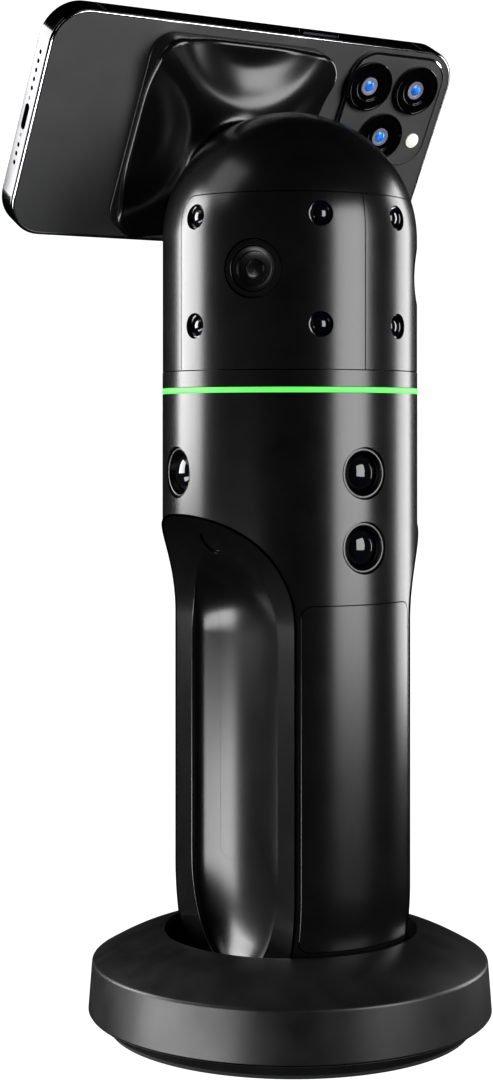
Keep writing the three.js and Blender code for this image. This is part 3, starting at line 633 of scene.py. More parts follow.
def flat_distance(z, inset=0.0):
    """How far the flat stands from the axis at a height: straight, then running out to the round."""
    above = np.clip(z - RUNOUT_LOW, 0, RUNOUT_RADIUS + inset)
    radius = RUNOUT_RADIUS + inset
    return FLAT + RUNOUT_RADIUS - np.sqrt(np.maximum(radius**2 - above**2, 0))


def flat_slope(z, inset=0.0):
    """How fast the flat moves out as it goes up."""
    step = 0.01
    return (flat_distance(z + step, inset) - flat_distance(z - step, inset)) / (2 * step)


def resample(points, count):
    """Points at equal steps along a dense line, its last point left out."""
    points = np.asarray(points, float)
    lengths = np.concatenate([[0], np.cumsum(np.linalg.norm(np.diff(points, axis=0), axis=1))])
    at = np.linspace(0, lengths[-1], count, endpoint=False)
    return np.stack([np.interp(at, lengths, points[:, k]) for k in range(points.shape[1])], 1)


def unit(vectors):
    return vectors / np.maximum(np.linalg.norm(vectors, axis=-1, keepdims=True), 1e-12)


def cylinder_point(y, z, inset):
    """The point of the handle's round surface on the +X side at a width and height."""
    radius = body_radius(z, inset)
    return np.stack([np.sqrt(np.maximum(radius**2 - y**2, 0)), y, z], -1)


def cylinder_normal(points):
    below = np.maximum(0, ROUNDING_TOP - points[..., 2])
    tilt = -below / np.sqrt(ROUNDING_RADIUS**2 - below**2)
    across = unit(points[..., :2])
    return unit(np.concatenate([across, tilt[..., None]], -1))


def flat_normal(points, inset):
    slope = flat_slope(points[..., 2], inset)
    return unit(np.stack([np.ones_like(slope), np.zeros_like(slope), -slope], -1))


def front_outlines(inset, extra):
    """Matching (y, z) points, bottom to top, along the front half of the flat's edge and the scoop's."""
    radius = RADIUS - inset
    base = BASE + (FLOOR if inset else 0)
    turn = np.linspace(np.arccos((FLAT - inset) / radius), 0, DENSE)
    reach = RUNOUT_RADIUS + inset
    rise = np.sqrt(np.maximum(reach**2 - (FLAT + RUNOUT_RADIUS - radius * np.cos(turn)) ** 2, 0))
    tip = np.stack([-radius * np.sin(turn), RUNOUT_LOW + rise], 1)
    low = np.linspace(base, SCOOP_LOW, DENSE)
    half_width = np.sqrt(body_radius(low, inset) ** 2 - flat_distance(low, inset) ** 2)
    edge_low = np.stack([-half_width, low], 1)
    corner = edge_low[0]
    side = np.array([[tip[0][0], SCOOP_LOW], [tip[0][0], SCOOP_HIGH]])
    upper = np.concatenate([[side[1]], tip])
    edge = [
        resample([[0, base], corner], BOTTOM_STEPS),
        resample(edge_low, ROUND_STEPS),
        resample(side, SIDE_STEPS),
        resample(upper, TIP_STEPS),
        [tip[-1]],
    ]
    half, down, up = SCOOP_HALF + extra, SCOOP_DOWN + extra, SCOOP_UP + extra
    lower = np.linspace(-np.pi / 2, 0, DENSE)
    upper_turn = np.linspace(0, np.pi / 2, DENSE)
    quarter_low = np.stack([-half * np.cos(lower), SCOOP_LOW + down * np.sin(lower)], 1)
    quarter_high = np.stack([-half * np.cos(upper_turn), SCOOP_HIGH + up * np.sin(upper_turn)], 1)
    rim = [
        resample(quarter_low[: BOTTOM_SHARE + 1], BOTTOM_STEPS),
        resample(quarter_low[BOTTOM_SHARE:], ROUND_STEPS),
        resample([[-half, SCOOP_LOW], [-half, SCOOP_HIGH]], SIDE_STEPS),
        resample(quarter_high, TIP_STEPS),
        [quarter_high[-1]],
    ]
    return np.concatenate(edge), np.concatenate(rim)


def whole_loop(front):
    """A front half from bottom to top, continued down its mirror image at the rear."""
    rear = front[1:-1][::-1] * np.array([-1, 1])
    return np.concatenate([front, rear])


def scoop_point(rim, alpha, inset, extra):
    """The scoop's surface on the ring at an angle alpha from its deepest line; 90 degrees is the rim."""
    half, down, up = SCOOP_HALF + extra, SCOOP_DOWN + extra, SCOOP_UP + extra
    rho = math.sin(alpha)
    centre = np.clip(rim[:, 1], SCOOP_LOW, SCOOP_HIGH)
    reach = np.where(rim[:, 1] < SCOOP_LOW, down, up)
    rise = (rim[:, 1] - centre) / reach * rho
    y = rim[:, 0] * rho
    z = centre + rise * reach
    softening = 1 + SCOOP_FADE * np.maximum(0, rise) ** 2
    depth = (SCOOP_DEPTH + extra - inset) * math.cos(alpha) ** softening
    return np.stack([flat_distance(z, inset) - depth, y, z], 1)


def surface_normals(rows):
    """Normals of a closed-ring grid (rows of loops), pointing towards +X."""
    along = np.roll(rows, -1, 1) - np.roll(rows, 1, 1)
    across = np.gradient(rows, axis=0)
    normals = unit(np.cross(along, across))
    flip = np.sign(normals[..., 0:1] + 1e-9)
    return normals * flip


def on_flat(outline, inset):
    """Points of the flat at widths and heights."""
    return np.stack([flat_distance(outline[:, 1], inset), outline[:, 0], outline[:, 1]], 1)


def shifted(edge, inset, surface, distance):
    """The edge moved along a surface, away from the flat (cylinder) or into it (flat)."""
    points = on_flat(edge, inset)
    along = unit(np.roll(points, -1, 0) - np.roll(points, 1, 0))
    if surface == "cylinder":
        moved = points + np.cross(along, cylinder_normal(points)) * distance
        return cylinder_point(moved[:, 1], moved[:, 2], inset)
    moved = points - np.cross(along, flat_normal(points, inset)) * distance
    return on_flat(moved[:, 1:], inset)


def edge_rings(edge, inset, rounding):
    """Three rings round the flat's rounded edge, which stays sharp along the underside."""
    outer = shifted(edge, inset, "cylinder", rounding)
    inner = shifted(edge, inset, "flat", rounding)
    steps = np.arange(len(edge))
    is_bottom = (steps < BOTTOM_STEPS) | (steps > len(edge) - BOTTOM_STEPS)
    base = edge[0][1]
    for ring in (outer, inner):
        ring[is_bottom, 0] = flat_distance(np.array([base]), inset)[0]
        ring[is_bottom, 1] = edge[is_bottom, 0]
        ring[is_bottom, 2] = base
    middle = on_flat(edge, inset) * 0.5 + (outer + inner) * 0.25
    outside, inside = cylinder_normal(outer), flat_normal(inner, inset)
    return [outer, middle, inner], [outside, unit(outside + inside), inside]


def scoop_rings(rim, inner_edge, inset, extra, rounding):
    """Rings across the flat strip, over the scoop's rounded rim and down to its deepest line."""
    spine = np.stack([np.zeros(len(rim)), np.clip(rim[:, 1], SCOOP_LOW, SCOOP_HIGH)], 1)
    shoulder = on_flat(rim + unit(rim - spine) * rounding, inset)
    rings, normals = [], []
    for t in np.arange(1, STRIP_STEPS + 1) / STRIP_STEPS:
        ring = on_flat(inner_edge[:, 1:] * (1 - t) + shoulder[:, 1:] * t, inset)
        rings.append(ring)
        normals.append(flat_normal(ring, inset))
    first = math.acos(min(0.999, rounding / (SCOOP_DEPTH + extra - inset)))
    alphas = np.linspace(math.pi / 2, 0, SCOOP_STEPS)[1:]
    alphas = np.concatenate([[first], alphas[alphas < first]])
    scoop = np.stack([scoop_point(rim, alpha, inset, extra) for alpha in alphas])
    scoop_normals = surface_normals(scoop)
    scoop_normals[-1] = unit(scoop_normals[-2] * np.array([1, 0, 1]))
    rings.append(on_flat(rim, inset) * 0.5 + (shoulder + scoop[0]) * 0.25)
    normals.append(unit(normals[-1] + scoop_normals[0]))
    return rings + list(scoop), normals + list(scoop_normals)


def outward_rings(edge, outer, inset, top):
    """Rings over the round surface, from the middle plane and the top to the flat's edge."""
    count = len(edge)
    half = count // 2 + 1
    azimuth = np.arctan2(outer[:, 1], outer[:, 0])
    goal_azimuth = np.where(edge[:, 0] <= 0, -np.pi / 2, np.pi / 2)
    goal_height = outer[:, 2].copy()
    tip = np.arange(BOTTOM_STEPS + ROUND_STEPS + SIDE_STEPS, half)
    climb = top - SCOOP_HIGH
    travelled = np.linspace(0, 1, len(tip)) ** TIP_SPACING * (climb + RADIUS * np.pi / 2)
    corner = tip[np.argmin(np.abs(travelled - climb))]
    goal_height[tip] = np.minimum(SCOOP_HIGH + travelled, top)
    goal_height[corner] = top
    goal_azimuth[tip] = -np.pi / 2 + np.maximum(0, travelled - climb) / RADIUS
    goal_azimuth[corner] = -np.pi / 2
    rear = count - np.arange(1, half - 1)
    goal_height[rear] = goal_height[1 : half - 1]
    goal_azimuth[rear] = -goal_azimuth[1 : half - 1]
    goal_azimuth[half - 1] = 0.0
    rings = []
    for t in np.arange(OUTWARD_STEPS, 0, -1) / OUTWARD_STEPS:
        angle = azimuth * (1 - t) + goal_azimuth * t
        height = outer[:, 2] * (1 - t) + goal_height * t
        radius = body_radius(height, inset)
        rings.append(np.stack([radius * np.cos(angle), radius * np.sin(angle), height], 1))
    return rings, [cylinder_normal(ring) for ring in rings]


def body_skin(name, inset=0.0, extra=0.0, top=TOP, rounding=EDGE_ROUND):
    """The handle's closed skin: round wall, flats with their run-outs, and finger scoops.

    Its surfaces are moved inwards by an inset, and the scoops are made larger by an extra."""
    edge, rim = (whole_loop(front) for front in front_outlines(inset, extra))
    rings, normals = edge_rings(edge, inset, rounding)
    outward, outward_normals = outward_rings(edge, rings[0], inset, top)
    inward, inward_normals = scoop_rings(rim, rings[2], inset, extra, rounding)
    rings = outward + rings + inward
    points = np.concatenate(rings)
    normals = np.concatenate(outward_normals + normals + inward_normals)
    count = len(edge)
    faces = []
    for row in range(len(rings) - 1):
        low, high = row * count, (row + 1) * count
        for i in range(count):
            j = (i + 1) % count
            at_bottom = i < BOTTOM_STEPS or i >= count - BOTTOM_STEPS
            if row >= OUTWARD_STEPS or not at_bottom:
                faces.append((low + i, high + i, high + j, low + j))
    faces += [tuple(len(points) + i for i in face[::-1]) for face in faces]
    mirror = np.array([-1, 1, 1])
    both = np.concatenate([points, points * mirror])
    return closed_skin(name, both, np.concatenate([normals, normals * mirror]), faces)


def closed_skin(name, points, normals, faces):
    """Welds the grid, caps its open rims with flat faces and sets the known normals on the rest."""
    mesh = bpy.data.meshes.new(name)
    mesh.from_pydata((points * MM).tolist(), [], faces)
    work = bmesh.new()
    work.from_mesh(mesh)
    layer = work.verts.layers.float_vector.new("true_normal")
    for vertex, normal in zip(work.verts, normals):
        vertex[layer] = Vector(normal)
    bmesh.ops.remove_doubles(work, verts=work.verts, dist=2e-6)
    bmesh.ops.dissolve_degenerate(work, edges=work.edges, dist=1e-7)
    rims = [edge for edge in work.edges if edge.is_boundary]
    caps = bmesh.ops.edgeloop_fill(work, edges=rims)["faces"]
    bmesh.ops.recalc_face_normals(work, faces=work.faces)
    for cap in caps:
        cap.material_index = 1
    work.to_mesh(mesh)
    true_normals = [tuple(vertex[layer]) for vertex in work.verts]
    work.free()
    mesh.shade_smooth()
    flat_faces = {polygon.index for polygon in mesh.polygons if polygon.material_index == 1}
    corners = np.zeros((len(mesh.loops), 3))
    for polygon in mesh.polygons:
        for loop in polygon.loop_indices:
            if polygon.index in flat_faces:
                corners[loop] = polygon.normal
            else:
                corners[loop] = true_normals[mesh.loops[loop].vertex_index]
        polygon.material_index = 0
    mesh.normals_split_custom_set(corners.tolist())
    obj = bpy.data.objects.new(name, mesh)
    bpy.context.scene.collection.objects.link(obj)
    return obj


def door_prism(name, offset):
    """The front door's outline through the front wall, larger all round by an offset."""
    half = DOOR_HALF + offset
    back = math.sqrt((RADIUS - WALL) ** 2 - half**2) - GAP
    outline = rounded_rectangle(2 * half, DOOR_HIGH - DOOR_LOW + 2 * offset, DOOR_CORNER + offset)
    outline = outline + np.array([0, (DOOR_LOW + DOOR_HIGH) / 2])
    return prism(name, outline, back, RADIUS + 5, "y")


def panel_prism(name, offset, side):
    """The outline of a grip panel in the scoop of one side, larger all round by an offset."""
    width = PANEL_HIGH[1] - PANEL_LOW[1] + 2 * offset
    height = PANEL_HIGH[2] - PANEL_LOW[2] + 2 * offset
    outline = rounded_rectangle(width, height, PANEL_CORNER + offset)
    outline = outline + np.array([0, (PANEL_HIGH[2] + PANEL_LOW[2]) / 2])
    cutter = prism(name, outline, 1.0, RADIUS + 1, "x")
    return cutter if side > 0 else placed(cutter, MIRROR_X)


def cylinder_cutter(name, radius, low, high, matrix=None, segments=64):
    cutter = lathe(name, [(0, low, 0), (radius, low, 0), (radius, high, 0), (0, high, 0)], segments, angle=0)
    return placed(cutter, matrix) if matrix is not None else cutter


def ring_cutter(name, inner, outer, low, high):
    points = [(inner, low, 0), (outer, low, 0), (outer, high, 0), (inner, high, 0), (inner, low, 0)]
    return lathe(name, points, 128, angle=0)


def cut_door(skin):
    """The front door: the skin within the door's outline, hollowed to the wall's thickness."""
    door = boolean(copy_of(skin, "visual_front_door"), door_prism("door_outline", -GAP), "INTERSECT")
    start = BASE + DOOR_HOLLOW
    inside = [(0, 0, 0), (body_radius(start, WALL), start, 0)]
    inside += [(body_radius(z, WALL), z, 0) for z in np.linspace(2 * start - BASE, ROUNDING_TOP, 8)]
    inside += [(RADIUS - WALL, TOP, 0), (0, TOP, 0)]
    return boolean(door, lathe("door_inside", inside, 128, angle=0))


def cut_panels(skin, shell):
    """The grip panels, and the pockets for them in the shell's scoops."""
    panels = []
    for name, side in SIDES:
        panel = copy_of(skin, f"visual_{name}_grip_panel")
        boolean(panel, panel_prism("outline", 0.0, side), "INTERSECT")
        boolean(panel, body_skin("behind", extra=PANEL_THICKNESS))
        panels.append(panel)
        pocket = panel_prism("pocket", PANEL_SEAM, side)
        boolean(shell, boolean(pocket, body_skin("seat", extra=PANEL_THICKNESS + GAP)))
    return panels


def contact_cutters(low, high):
    """Round cutters for the two charging contacts, between two levels."""
    for side in (-1, 1):
        place = Matrix.Translation((CONTACT_SPREAD * side, 0, 0))
        yield cylinder_cutter("contact", CONTACT_RADIUS + GAP, low, high, place, 32)


def build_body():
    """The hollow body shell, its grip panels and its front door, all cut from one skin."""
    skin = body_skin("skin")
    cavity = body_skin("cavity", inset=WALL, extra=SCOOP_WALL, top=SHELF)
    door = cut_door(skin)
    shell = copy_of(skin, "visual_body_shell")
    panels = cut_panels(skin, shell)
    boolean(shell, cavity)
    boolean(shell, cylinder_cutter("collar", COLLAR_BORE, SHELF - 1, TOP + 2, segments=128))
    groove_low, groove_high = RING_LOW[2] - GAP / 2, RING_HIGH[2] + GAP / 2
    boolean(shell, ring_cutter("groove", RING_INNER - GAP, RADIUS + 2, groove_low, groove_high))
    boolean(shell, door_prism("door_opening", 0.0))
    for name in CAMERAS:
        spot = spot_of(f"{name}_lens", RADIUS)
        boolean(shell, cylinder_cutter("pocket", CAMERA_POCKET, -CAMERA_DEPTH - BORE_BACKING, CUT_OVER, spot))
    boolean(shell, cylinder_cutter("bore", BUTTON_RADIUS + GAP, -BUTTON_LENGTH, CUT_OVER, button_place()))
    for cutter in contact_cutters(BASE - 2, BASE + FLOOR + 2):
        boolean(shell, cutter)
    for piece in (shell, door, *panels):
        shade(piece, 25)
        carry_normals(piece, skin)
    bpy.data.objects.remove(skin)
    finish_piece(shell, "body_satin", "scanner", "body_shell")
    finish_piece(door, "door_satin", "front_door", "front_door")
    for (name, side), panel in zip(SIDES, panels):
        finish_piece(panel, "grip_gloss", "scanner", f"{name}_grip_panel")


def build_light_ring():
    """The glowing strip round the collar."""
    low, high, reach = RING_LOW[2], RING_HIGH[2], RING_HIGH[1]
    inner = RING_INNER
    points = [(inner, low, 0), (reach, low, 0.3), (reach, high, 0.3), (inner, high, 0), (inner, low, 0)]
    ring = lathe("visual_light_ring", points, 160)
    finish_piece(ring, "light_green", "scanner", "light_ring")


def dome_points(radius, low, rise, steps=8):
    """Profile points of a domed front from its shoulder to its middle."""
    turns = np.linspace(0, math.pi / 2, steps + 1)
    return [(radius * math.cos(t), low + rise * math.sin(t), 0) for t in turns]


def build_cameras():
    """Stepped black barrels in the round pockets, each with a domed lens."""
    outer = CAMERA_POCKET - GAP
    bore = outer - CAMERA_RIM
    radius = bore - 2 * GAP
    barrel_profile = [
        (bore, -CAMERA_DEPTH, 0),
        (outer, -CAMERA_DEPTH, 0),
        (outer, -CAMERA_SINK, 0.25),
        (outer - 0.9, -CAMERA_SINK, 0.2),
        (bore + 0.25, -CAMERA_CONE, 0.2),
        (bore, -CAMERA_CONE - 0.5, 0.1),
        (bore, -CAMERA_DEPTH, 0),
    ]
    lens_profile = [(0, GAP - CAMERA_DEPTH, 0), (radius, GAP - CAMERA_DEPTH, 0)]
    lens_profile += dome_points(radius, -LENS_SHOULDER, LENS_RISE)
    for name in CAMERAS:
        spot = spot_of(f"{name}_lens", RADIUS)
        barrel = weighted(placed(lathe(f"visual_{name}_barrel", barrel_profile, 72), spot))
        finish_piece(barrel, "barrel_black", "scanner", f"{name}_barrel")
        lens = placed(lathe(f"visual_{name}_lens", lens_profile, 72, angle=50), spot)
        finish_piece(lens, "lens_glass", "scanner", f"{name}_lens")


def button_place():
    """The button's place on the run-out slope, its own +Z pointing out of the slope."""
    height = RUNOUT_LOW + BUTTON_RISE
    slope = math.asin(BUTTON_RISE / RUNOUT_RADIUS)
    spot = Matrix.Translation((-float(flat_distance(height)), 0, height))
    return spot @ Matrix.Rotation(-math.pi / 2 - slope, 4, "Y")


def build_button():
    """The round push button, dished in the middle."""
    profile = [
        (0, -BUTTON_LENGTH, 0),
        (BUTTON_RADIUS, -BUTTON_LENGTH, 0),
        (BUTTON_RADIUS, -BUTTON_SINK, 0.5),
        (BUTTON_RADIUS - 1.2, -BUTTON_SINK, 0.4),
        (0, -2 * BUTTON_SINK, 0),
    ]
    button = placed(lathe("visual_power_button", profile, 64), button_place())
    finish_piece(button, "button_gloss", "power_button", "power_button")


# ---- Head and mount pad, one smooth skin worked out as a distance field ----


def smooth_min(a, b, blend):
    """The smaller of two distances, with their corner rounded over a blend width."""
    share = np.clip(0.5 + 0.5 * (b - a) / blend, 0, 1)
    return b * (1 - share) + a * share - blend * share * (1 - share)


def pad_height(across, up):
    """Height of the pad's front over the phone's back: a cone with a crescent scoop at each side."""
    distance = np.sqrt(across**2 + up**2)
    star = PAD_FRONT + PAD_RISE * np.maximum(0, PAD_REACH - distance)
    height = star
    for u, v in ((across, up), (-across, up), (up, across), (-up, across)):
        inside = CRESCENT_RADIUS - np.sqrt((u - CRESCENT_CENTRE) ** 2 + v**2)
        softened = 0.5 * (inside + np.sqrt(inside**2 + CRESCENT_SOFTNESS**2))
        fall = np.clip(1 - softened / CRESCENT_WIDTH, 0, 1)
        height = np.minimum(height, PAD_RIM + (star - PAD_RIM) * fall**2)
    return height


def pad_distance(across, up, out):
    """Signed distance to the mount pad, a rounded square post whose front edge is rounded too."""
    body_x = np.abs(across) - (PAD_HALF - PAD_CORNER)
    body_y = np.abs(up) - (PAD_HALF - PAD_CORNER)
    outside = np.sqrt(np.maximum(body_x, 0) ** 2 + np.maximum(body_y, 0) ** 2)
    side = outside + np.minimum(np.maximum(body_x, body_y), 0) - PAD_CORNER + PAD_EDGE
    top = (out - pad_height(across, up)) * SLOPE_SCALE + PAD_EDGE
    rounded = np.sqrt(np.maximum(side, 0) ** 2 + np.maximum(top, 0) ** 2)
    pad = rounded + np.minimum(np.maximum(side, top), 0) - PAD_EDGE
    return np.maximum(pad, PAD_BACK - PAD_OVER - out)


def neck_distance(local):
    """Signed distance to the neck, a round bar that widens from the pad to the dome."""
    axis = NECK_HIGH - NECK_LOW
    t = np.clip(((local - NECK_LOW) @ axis) / (axis @ axis), 0, 1)
    low, high = NECK_RADII
    return np.linalg.norm(local - NECK_LOW - t[..., None] * axis, axis=-1) - (low + (high - low) * t)


def head_distance(points):
    """Signed distance, near the surface, to the head with its neck and mount pad."""
    x, y, z = (points[..., k] - DOME_CENTRE[k] for k in range(3))
    flat_radius = np.sqrt(x**2 + y**2)
    dome = np.where(z > 0, np.sqrt(flat_radius**2 + z**2), flat_radius) - HEAD_RADIUS
    offset = points - MOUNT_ORIGIN
    across, up, out = offset[..., 0], offset @ PAD_UP, -(offset @ PAD_NORMAL)
    neck = neck_distance(np.stack([across, up, out], -1))
    pad = smooth_min(pad_distance(across, up, out), neck, NECK_PAD_BLEND)
    share = np.clip((out - BLEND_START) / BLEND_LENGTH, BLEND_LEAST, 1)
    return smooth_min(dome, pad, NECK_BLEND * share)


def gradient(distance, points, step=0.05):
    """The slope of a distance field, from its values a step to each side."""
    sides = [(distance(points + shift) - distance(points - shift)) / (2 * step) for shift in np.eye(3) * step]
    return np.stack(sides, -1)


def surface_net(name, distance, low, high, step):
    """A quad mesh of a distance field's zero surface, its points and normals taken from the field itself."""
    axes = [np.arange(low[k], high[k] + step, step) for k in range(3)]
    grid = np.stack(np.meshgrid(*axes, indexing="ij"), -1)
    inside = distance(grid) < 0
    inside[:, :, 0] = False
    size = np.array(inside.shape)
    corner_count = np.zeros(size - 1, int)
    for corner in np.ndindex(2, 2, 2):
        window = tuple(slice(c, size[k] - 1 + c) for k, c in enumerate(corner))
        corner_count += inside[window]
    active = (corner_count > 0) & (corner_count < 8)
    index = np.full(active.shape, -1)
    index[active] = np.arange(active.sum())
    points = (np.argwhere(active) + 0.5) * step + np.array([a[0] for a in axes])
    on_surface = points[:, 2] > low[2] + step
    for _ in range(NET_ROUNDS):
        slope = gradient(distance, points)
        steepness = np.maximum((slope**2).sum(1, keepdims=True), LEAST_STEEPNESS)
        move = distance(points)[:, None] * slope / steepness
        points = np.where(on_surface[:, None], points - np.clip(move, -step, step), points)
    faces = []
    for axis in range(3):
        b, c = (axis + 1) % 3, (axis + 2) % 3
        first = np.take(inside, range(size[axis] - 1), axis)
        second = np.take(inside, range(1, size[axis]), axis)
        crossing = np.argwhere(first != second)
        crossing = crossing[((crossing[:, [b, c]] > 0) & (crossing[:, [b, c]] < size[[b, c]] - 1)).all(1)]
        leaving = first[tuple(crossing.T)]
        quad = []
        for db, dc in ((0, 0), (1, 0), (1, 1), (0, 1)):
            cell = crossing.copy()
            cell[:, b] -= 1 - db
            cell[:, c] -= 1 - dc
            quad.append(index[tuple(cell.T)])
        quad = np.stack(quad, 1)
        quad[~leaving] = quad[~leaving][:, ::-1]
        faces.append(quad)
    faces = np.concatenate(faces)
    faces = faces[(faces >= 0).all(1)]
    normals = unit(gradient(distance, points))
    mesh = bpy.data.meshes.new(name)
    mesh.from_pydata((points * MM).tolist(), [], faces.tolist())
    mesh.shade_smooth()
    mesh.normals_split_custom_set_from_vertices(normals.tolist())
    obj = bpy.data.objects.new(name, mesh)
    bpy.context.scene.collection.objects.link(obj)
    return obj


def is_closed(obj):
    """Whether every edge has exactly two faces, as the boolean solver needs."""
    work = bmesh.new()
    work.from_mesh(obj.data)
    closed = all(edge.is_manifold for edge in work.edges)
    work.free()
    return closed


def head_solid(name, inset, low):
    """The dome and the straight part under it, moved inwards by an inset."""
    radius = HEAD_RADIUS - inset
    turns = np.linspace(0, math.pi / 2, 28)
    dome = [(radius * math.cos(t), DOME_CENTRE[2] + radius * math.sin(t), 0) for t in turns]
    return lathe(name, [(0, low, 0), (radius, low, 0), *dome], 144, angle=0)


def window_prism(name, offset, near, side):
    """A window's outline through the head's wall, larger by an offset, from near the middle plane."""
    low, high = HEAD_BASE - 2, WINDOW_TOP + offset
    far = RADIUS + CUT_OVER
    corner = WINDOW_CORNER + offset
    turn = np.linspace(0, math.pi / 2, 12)
    arc = np.stack([offset - corner + corner * np.cos(turn), high - corner + corner * np.sin(turn)], 1)
    outline = np.concatenate([[(-far, low), (offset, low)], arc, [(-far, high)]])
    cutter = prism(name, outline, near, far, "x")
    return cutter if side > 0 else placed(cutter, MIRROR_X)


def emitter_nodes(side):
    return [f"{side}_emitter_{place}" for place in ("front_lower", "front_upper", "rear_lower", "rear_upper")]


def optic_bores(obj):
    """Drills the holes for the depth cameras and emitters."""
    for name, side in SIDES:
        spot = spot_of(f"{name}_depth_lens", HEAD_RADIUS)
        boolean(obj, cylinder_cutter("bore", DEPTH_RADIUS, -DEPTH_LENGTH - BORE_BACKING, CUT_OVER, spot, 72))
        low = -EMITTER_LENGTH - BORE_BACKING
        for node in emitter_nodes(name):
            spot = spot_of(node, HEAD_RADIUS)
            boolean(obj, cylinder_cutter("bore", EMITTER_RADIUS, low, CUT_OVER, spot, 48))
    return obj


def head_skin():
    """The head, neck and pad in one closed skin; the grid is nudged until the net closes."""
    near = -RADIUS - NET_MARGIN
    low = np.array([near, near, HEAD_BASE - NET_BELOW])
    back, above = NET_REACH
    high = np.array([-near, MOUNT_ORIGIN[1] + back, MOUNT_ORIGIN[2] + above])
    for nudge in NET_NUDGES:
        skin = surface_net("head_skin", head_distance, low + nudge, high, NET_STEP)
        if is_closed(skin):
            break
        bpy.data.objects.remove(skin)
    return skin


def cut_head(skin):
    """The hollow head with its spigot, its magnet groove, and the windows' seats and bores."""
    head = copy_of(skin, "visual_head")
    boolean(head, block_between("above", HEAD_BASE, HEAD_BASE + BLOCK_HEIGHT), "INTERSECT")
    boolean(head, placed(block_between("pad_back", -40, PAD_BACK), MOUNT_PLACE))
    boolean(head, head_solid("hollow", HEAD_WALL, HEAD_BASE + 3))
    outer = COLLAR_BORE - GAP
    inner = outer - SPIGOT_WALL
    boolean(head, cylinder_cutter("bore", inner, HEAD_BASE - 2, HEAD_BASE + 5, segments=96))
    boolean(head, ring_cutter("spigot", inner, outer, HEAD_BASE - SPIGOT_LENGTH, HEAD_BASE + 1), "UNION")
    groove_top = PAD_BACK + MAGNET_HEIGHT + GAP
    groove = ring_cutter("magnet_groove", MAGNET_INNER - GAP, MAGNET_OUTER + GAP, 0, groove_top)
    boolean(head, placed(groove, MOUNT_PLACE))
    for name, side in SIDES:
        seat = window_prism("seat", GAP, -2.0, side)
        behind = head_solid("seat_back", WINDOW_THICKNESS + GAP, HEAD_BASE - 4)
        boolean(head, boolean(seat, behind))
    return optic_bores(head)


def cut_window(skin, name, side):
    """One of the two panels let into the head's front, cut from the head's own skin."""
    window = copy_of(skin, f"visual_{name}_window")
    boolean(window, window_prism("window", 0.0, SEAM / 2, side), "INTERSECT")
    boolean(window, block_between("above", HEAD_BASE, HEAD_BASE + BLOCK_HEIGHT), "INTERSECT")
    boolean(window, head_solid("window_back", WINDOW_THICKNESS, HEAD_BASE - 4))
    return optic_bores(window)


def build_head():
    """The head with its neck and pad, and its two window panels."""
    skin = head_skin()
    head = cut_head(skin)
    windows = [cut_window(skin, name, side) for name, side in SIDES]
    for piece in (head, *windows):
        shade(piece, 30)
        carry_normals(piece, skin)
    bpy.data.objects.remove(skin)
    finish_piece(head, "body_satin", "scanner", "head_shell", "mount_arm")
    for (name, side), window in zip(SIDES, windows):
        finish_piece(window, "window_gloss", "scanner", f"{name}_window")


def build_depth_camera(name):
    """A depth camera's bezel, and its lens: a dish round a raised middle."""
    spot = spot_of(f"{name}_depth_lens", HEAD_RADIUS)
    outer = DEPTH_RADIUS - GAP
    inner = DEPTH_INNER - GAP
    front = -DEPTH_RECESS
    ring = [
        (DEPTH_INNER, -DEPTH_LENGTH, 0),
        (outer, -DEPTH_LENGTH, 0),
        (outer, front, 0.2),
        (DEPTH_INNER, front, 0.15),
        (DEPTH_INNER, -DEPTH_LENGTH, 0),
    ]
    bezel = weighted(placed(lathe(f"visual_{name}_depth_bezel", ring, 96), spot))
    finish_piece(bezel, "barrel_black", "scanner", f"{name}_depth_bezel", finish=FINISHES["window_gloss"])
    dish = [
        (0, -DEPTH_LENGTH, 0),
        (inner, -DEPTH_LENGTH, 0),
        (inner, front - 0.5, 0.1),
        (5.35, front - 0.9, 0.1),
        (5.2, front - 1.5, 0.1),
        (2.9, front - 1.9, 0.1),
        (2.6, front - 1.5, 0.1),
        (2.0, front - 1.3, 0.2),
        (0, front - 0.9, 0),
    ]
    lens = placed(lathe(f"visual_{name}_depth_lens", dish, 96), spot)
    finish_piece(lens, "lens_glass", "scanner", f"{name}_depth_lens", finish=DEPTH_GLASS)


def build_emitter(node):
    """A small round emitter lens, domed inside a low rim."""
    radius = EMITTER_RADIUS - GAP
    profile = [
        (0, -EMITTER_LENGTH, 0),
        (radius, -EMITTER_LENGTH, 0),
        (radius, -1.1, 0.2),
        (radius - 0.7, -1.4, 0.1),
        *dome_points(radius - 1.0, -2.2, 1.2),
    ]
    lens = placed(lathe(f"visual_{node}", profile, 48), spot_of(node, HEAD_RADIUS))
    finish_piece(lens, "lens_glass", "scanner", node)


def build_optics():
    """The depth cameras in both windows, and the small emitters round them."""
    for name, side in SIDES:
        build_depth_camera(name)
        for node in emitter_nodes(name):
            build_emitter(node)


# ---- Dock ----


def socket_radius(z, offset=0.0):
    """The socket's radius at a height, which follows the handle that stands in it."""
    return body_radius(z) + SOCKET_CLEARANCE + offset


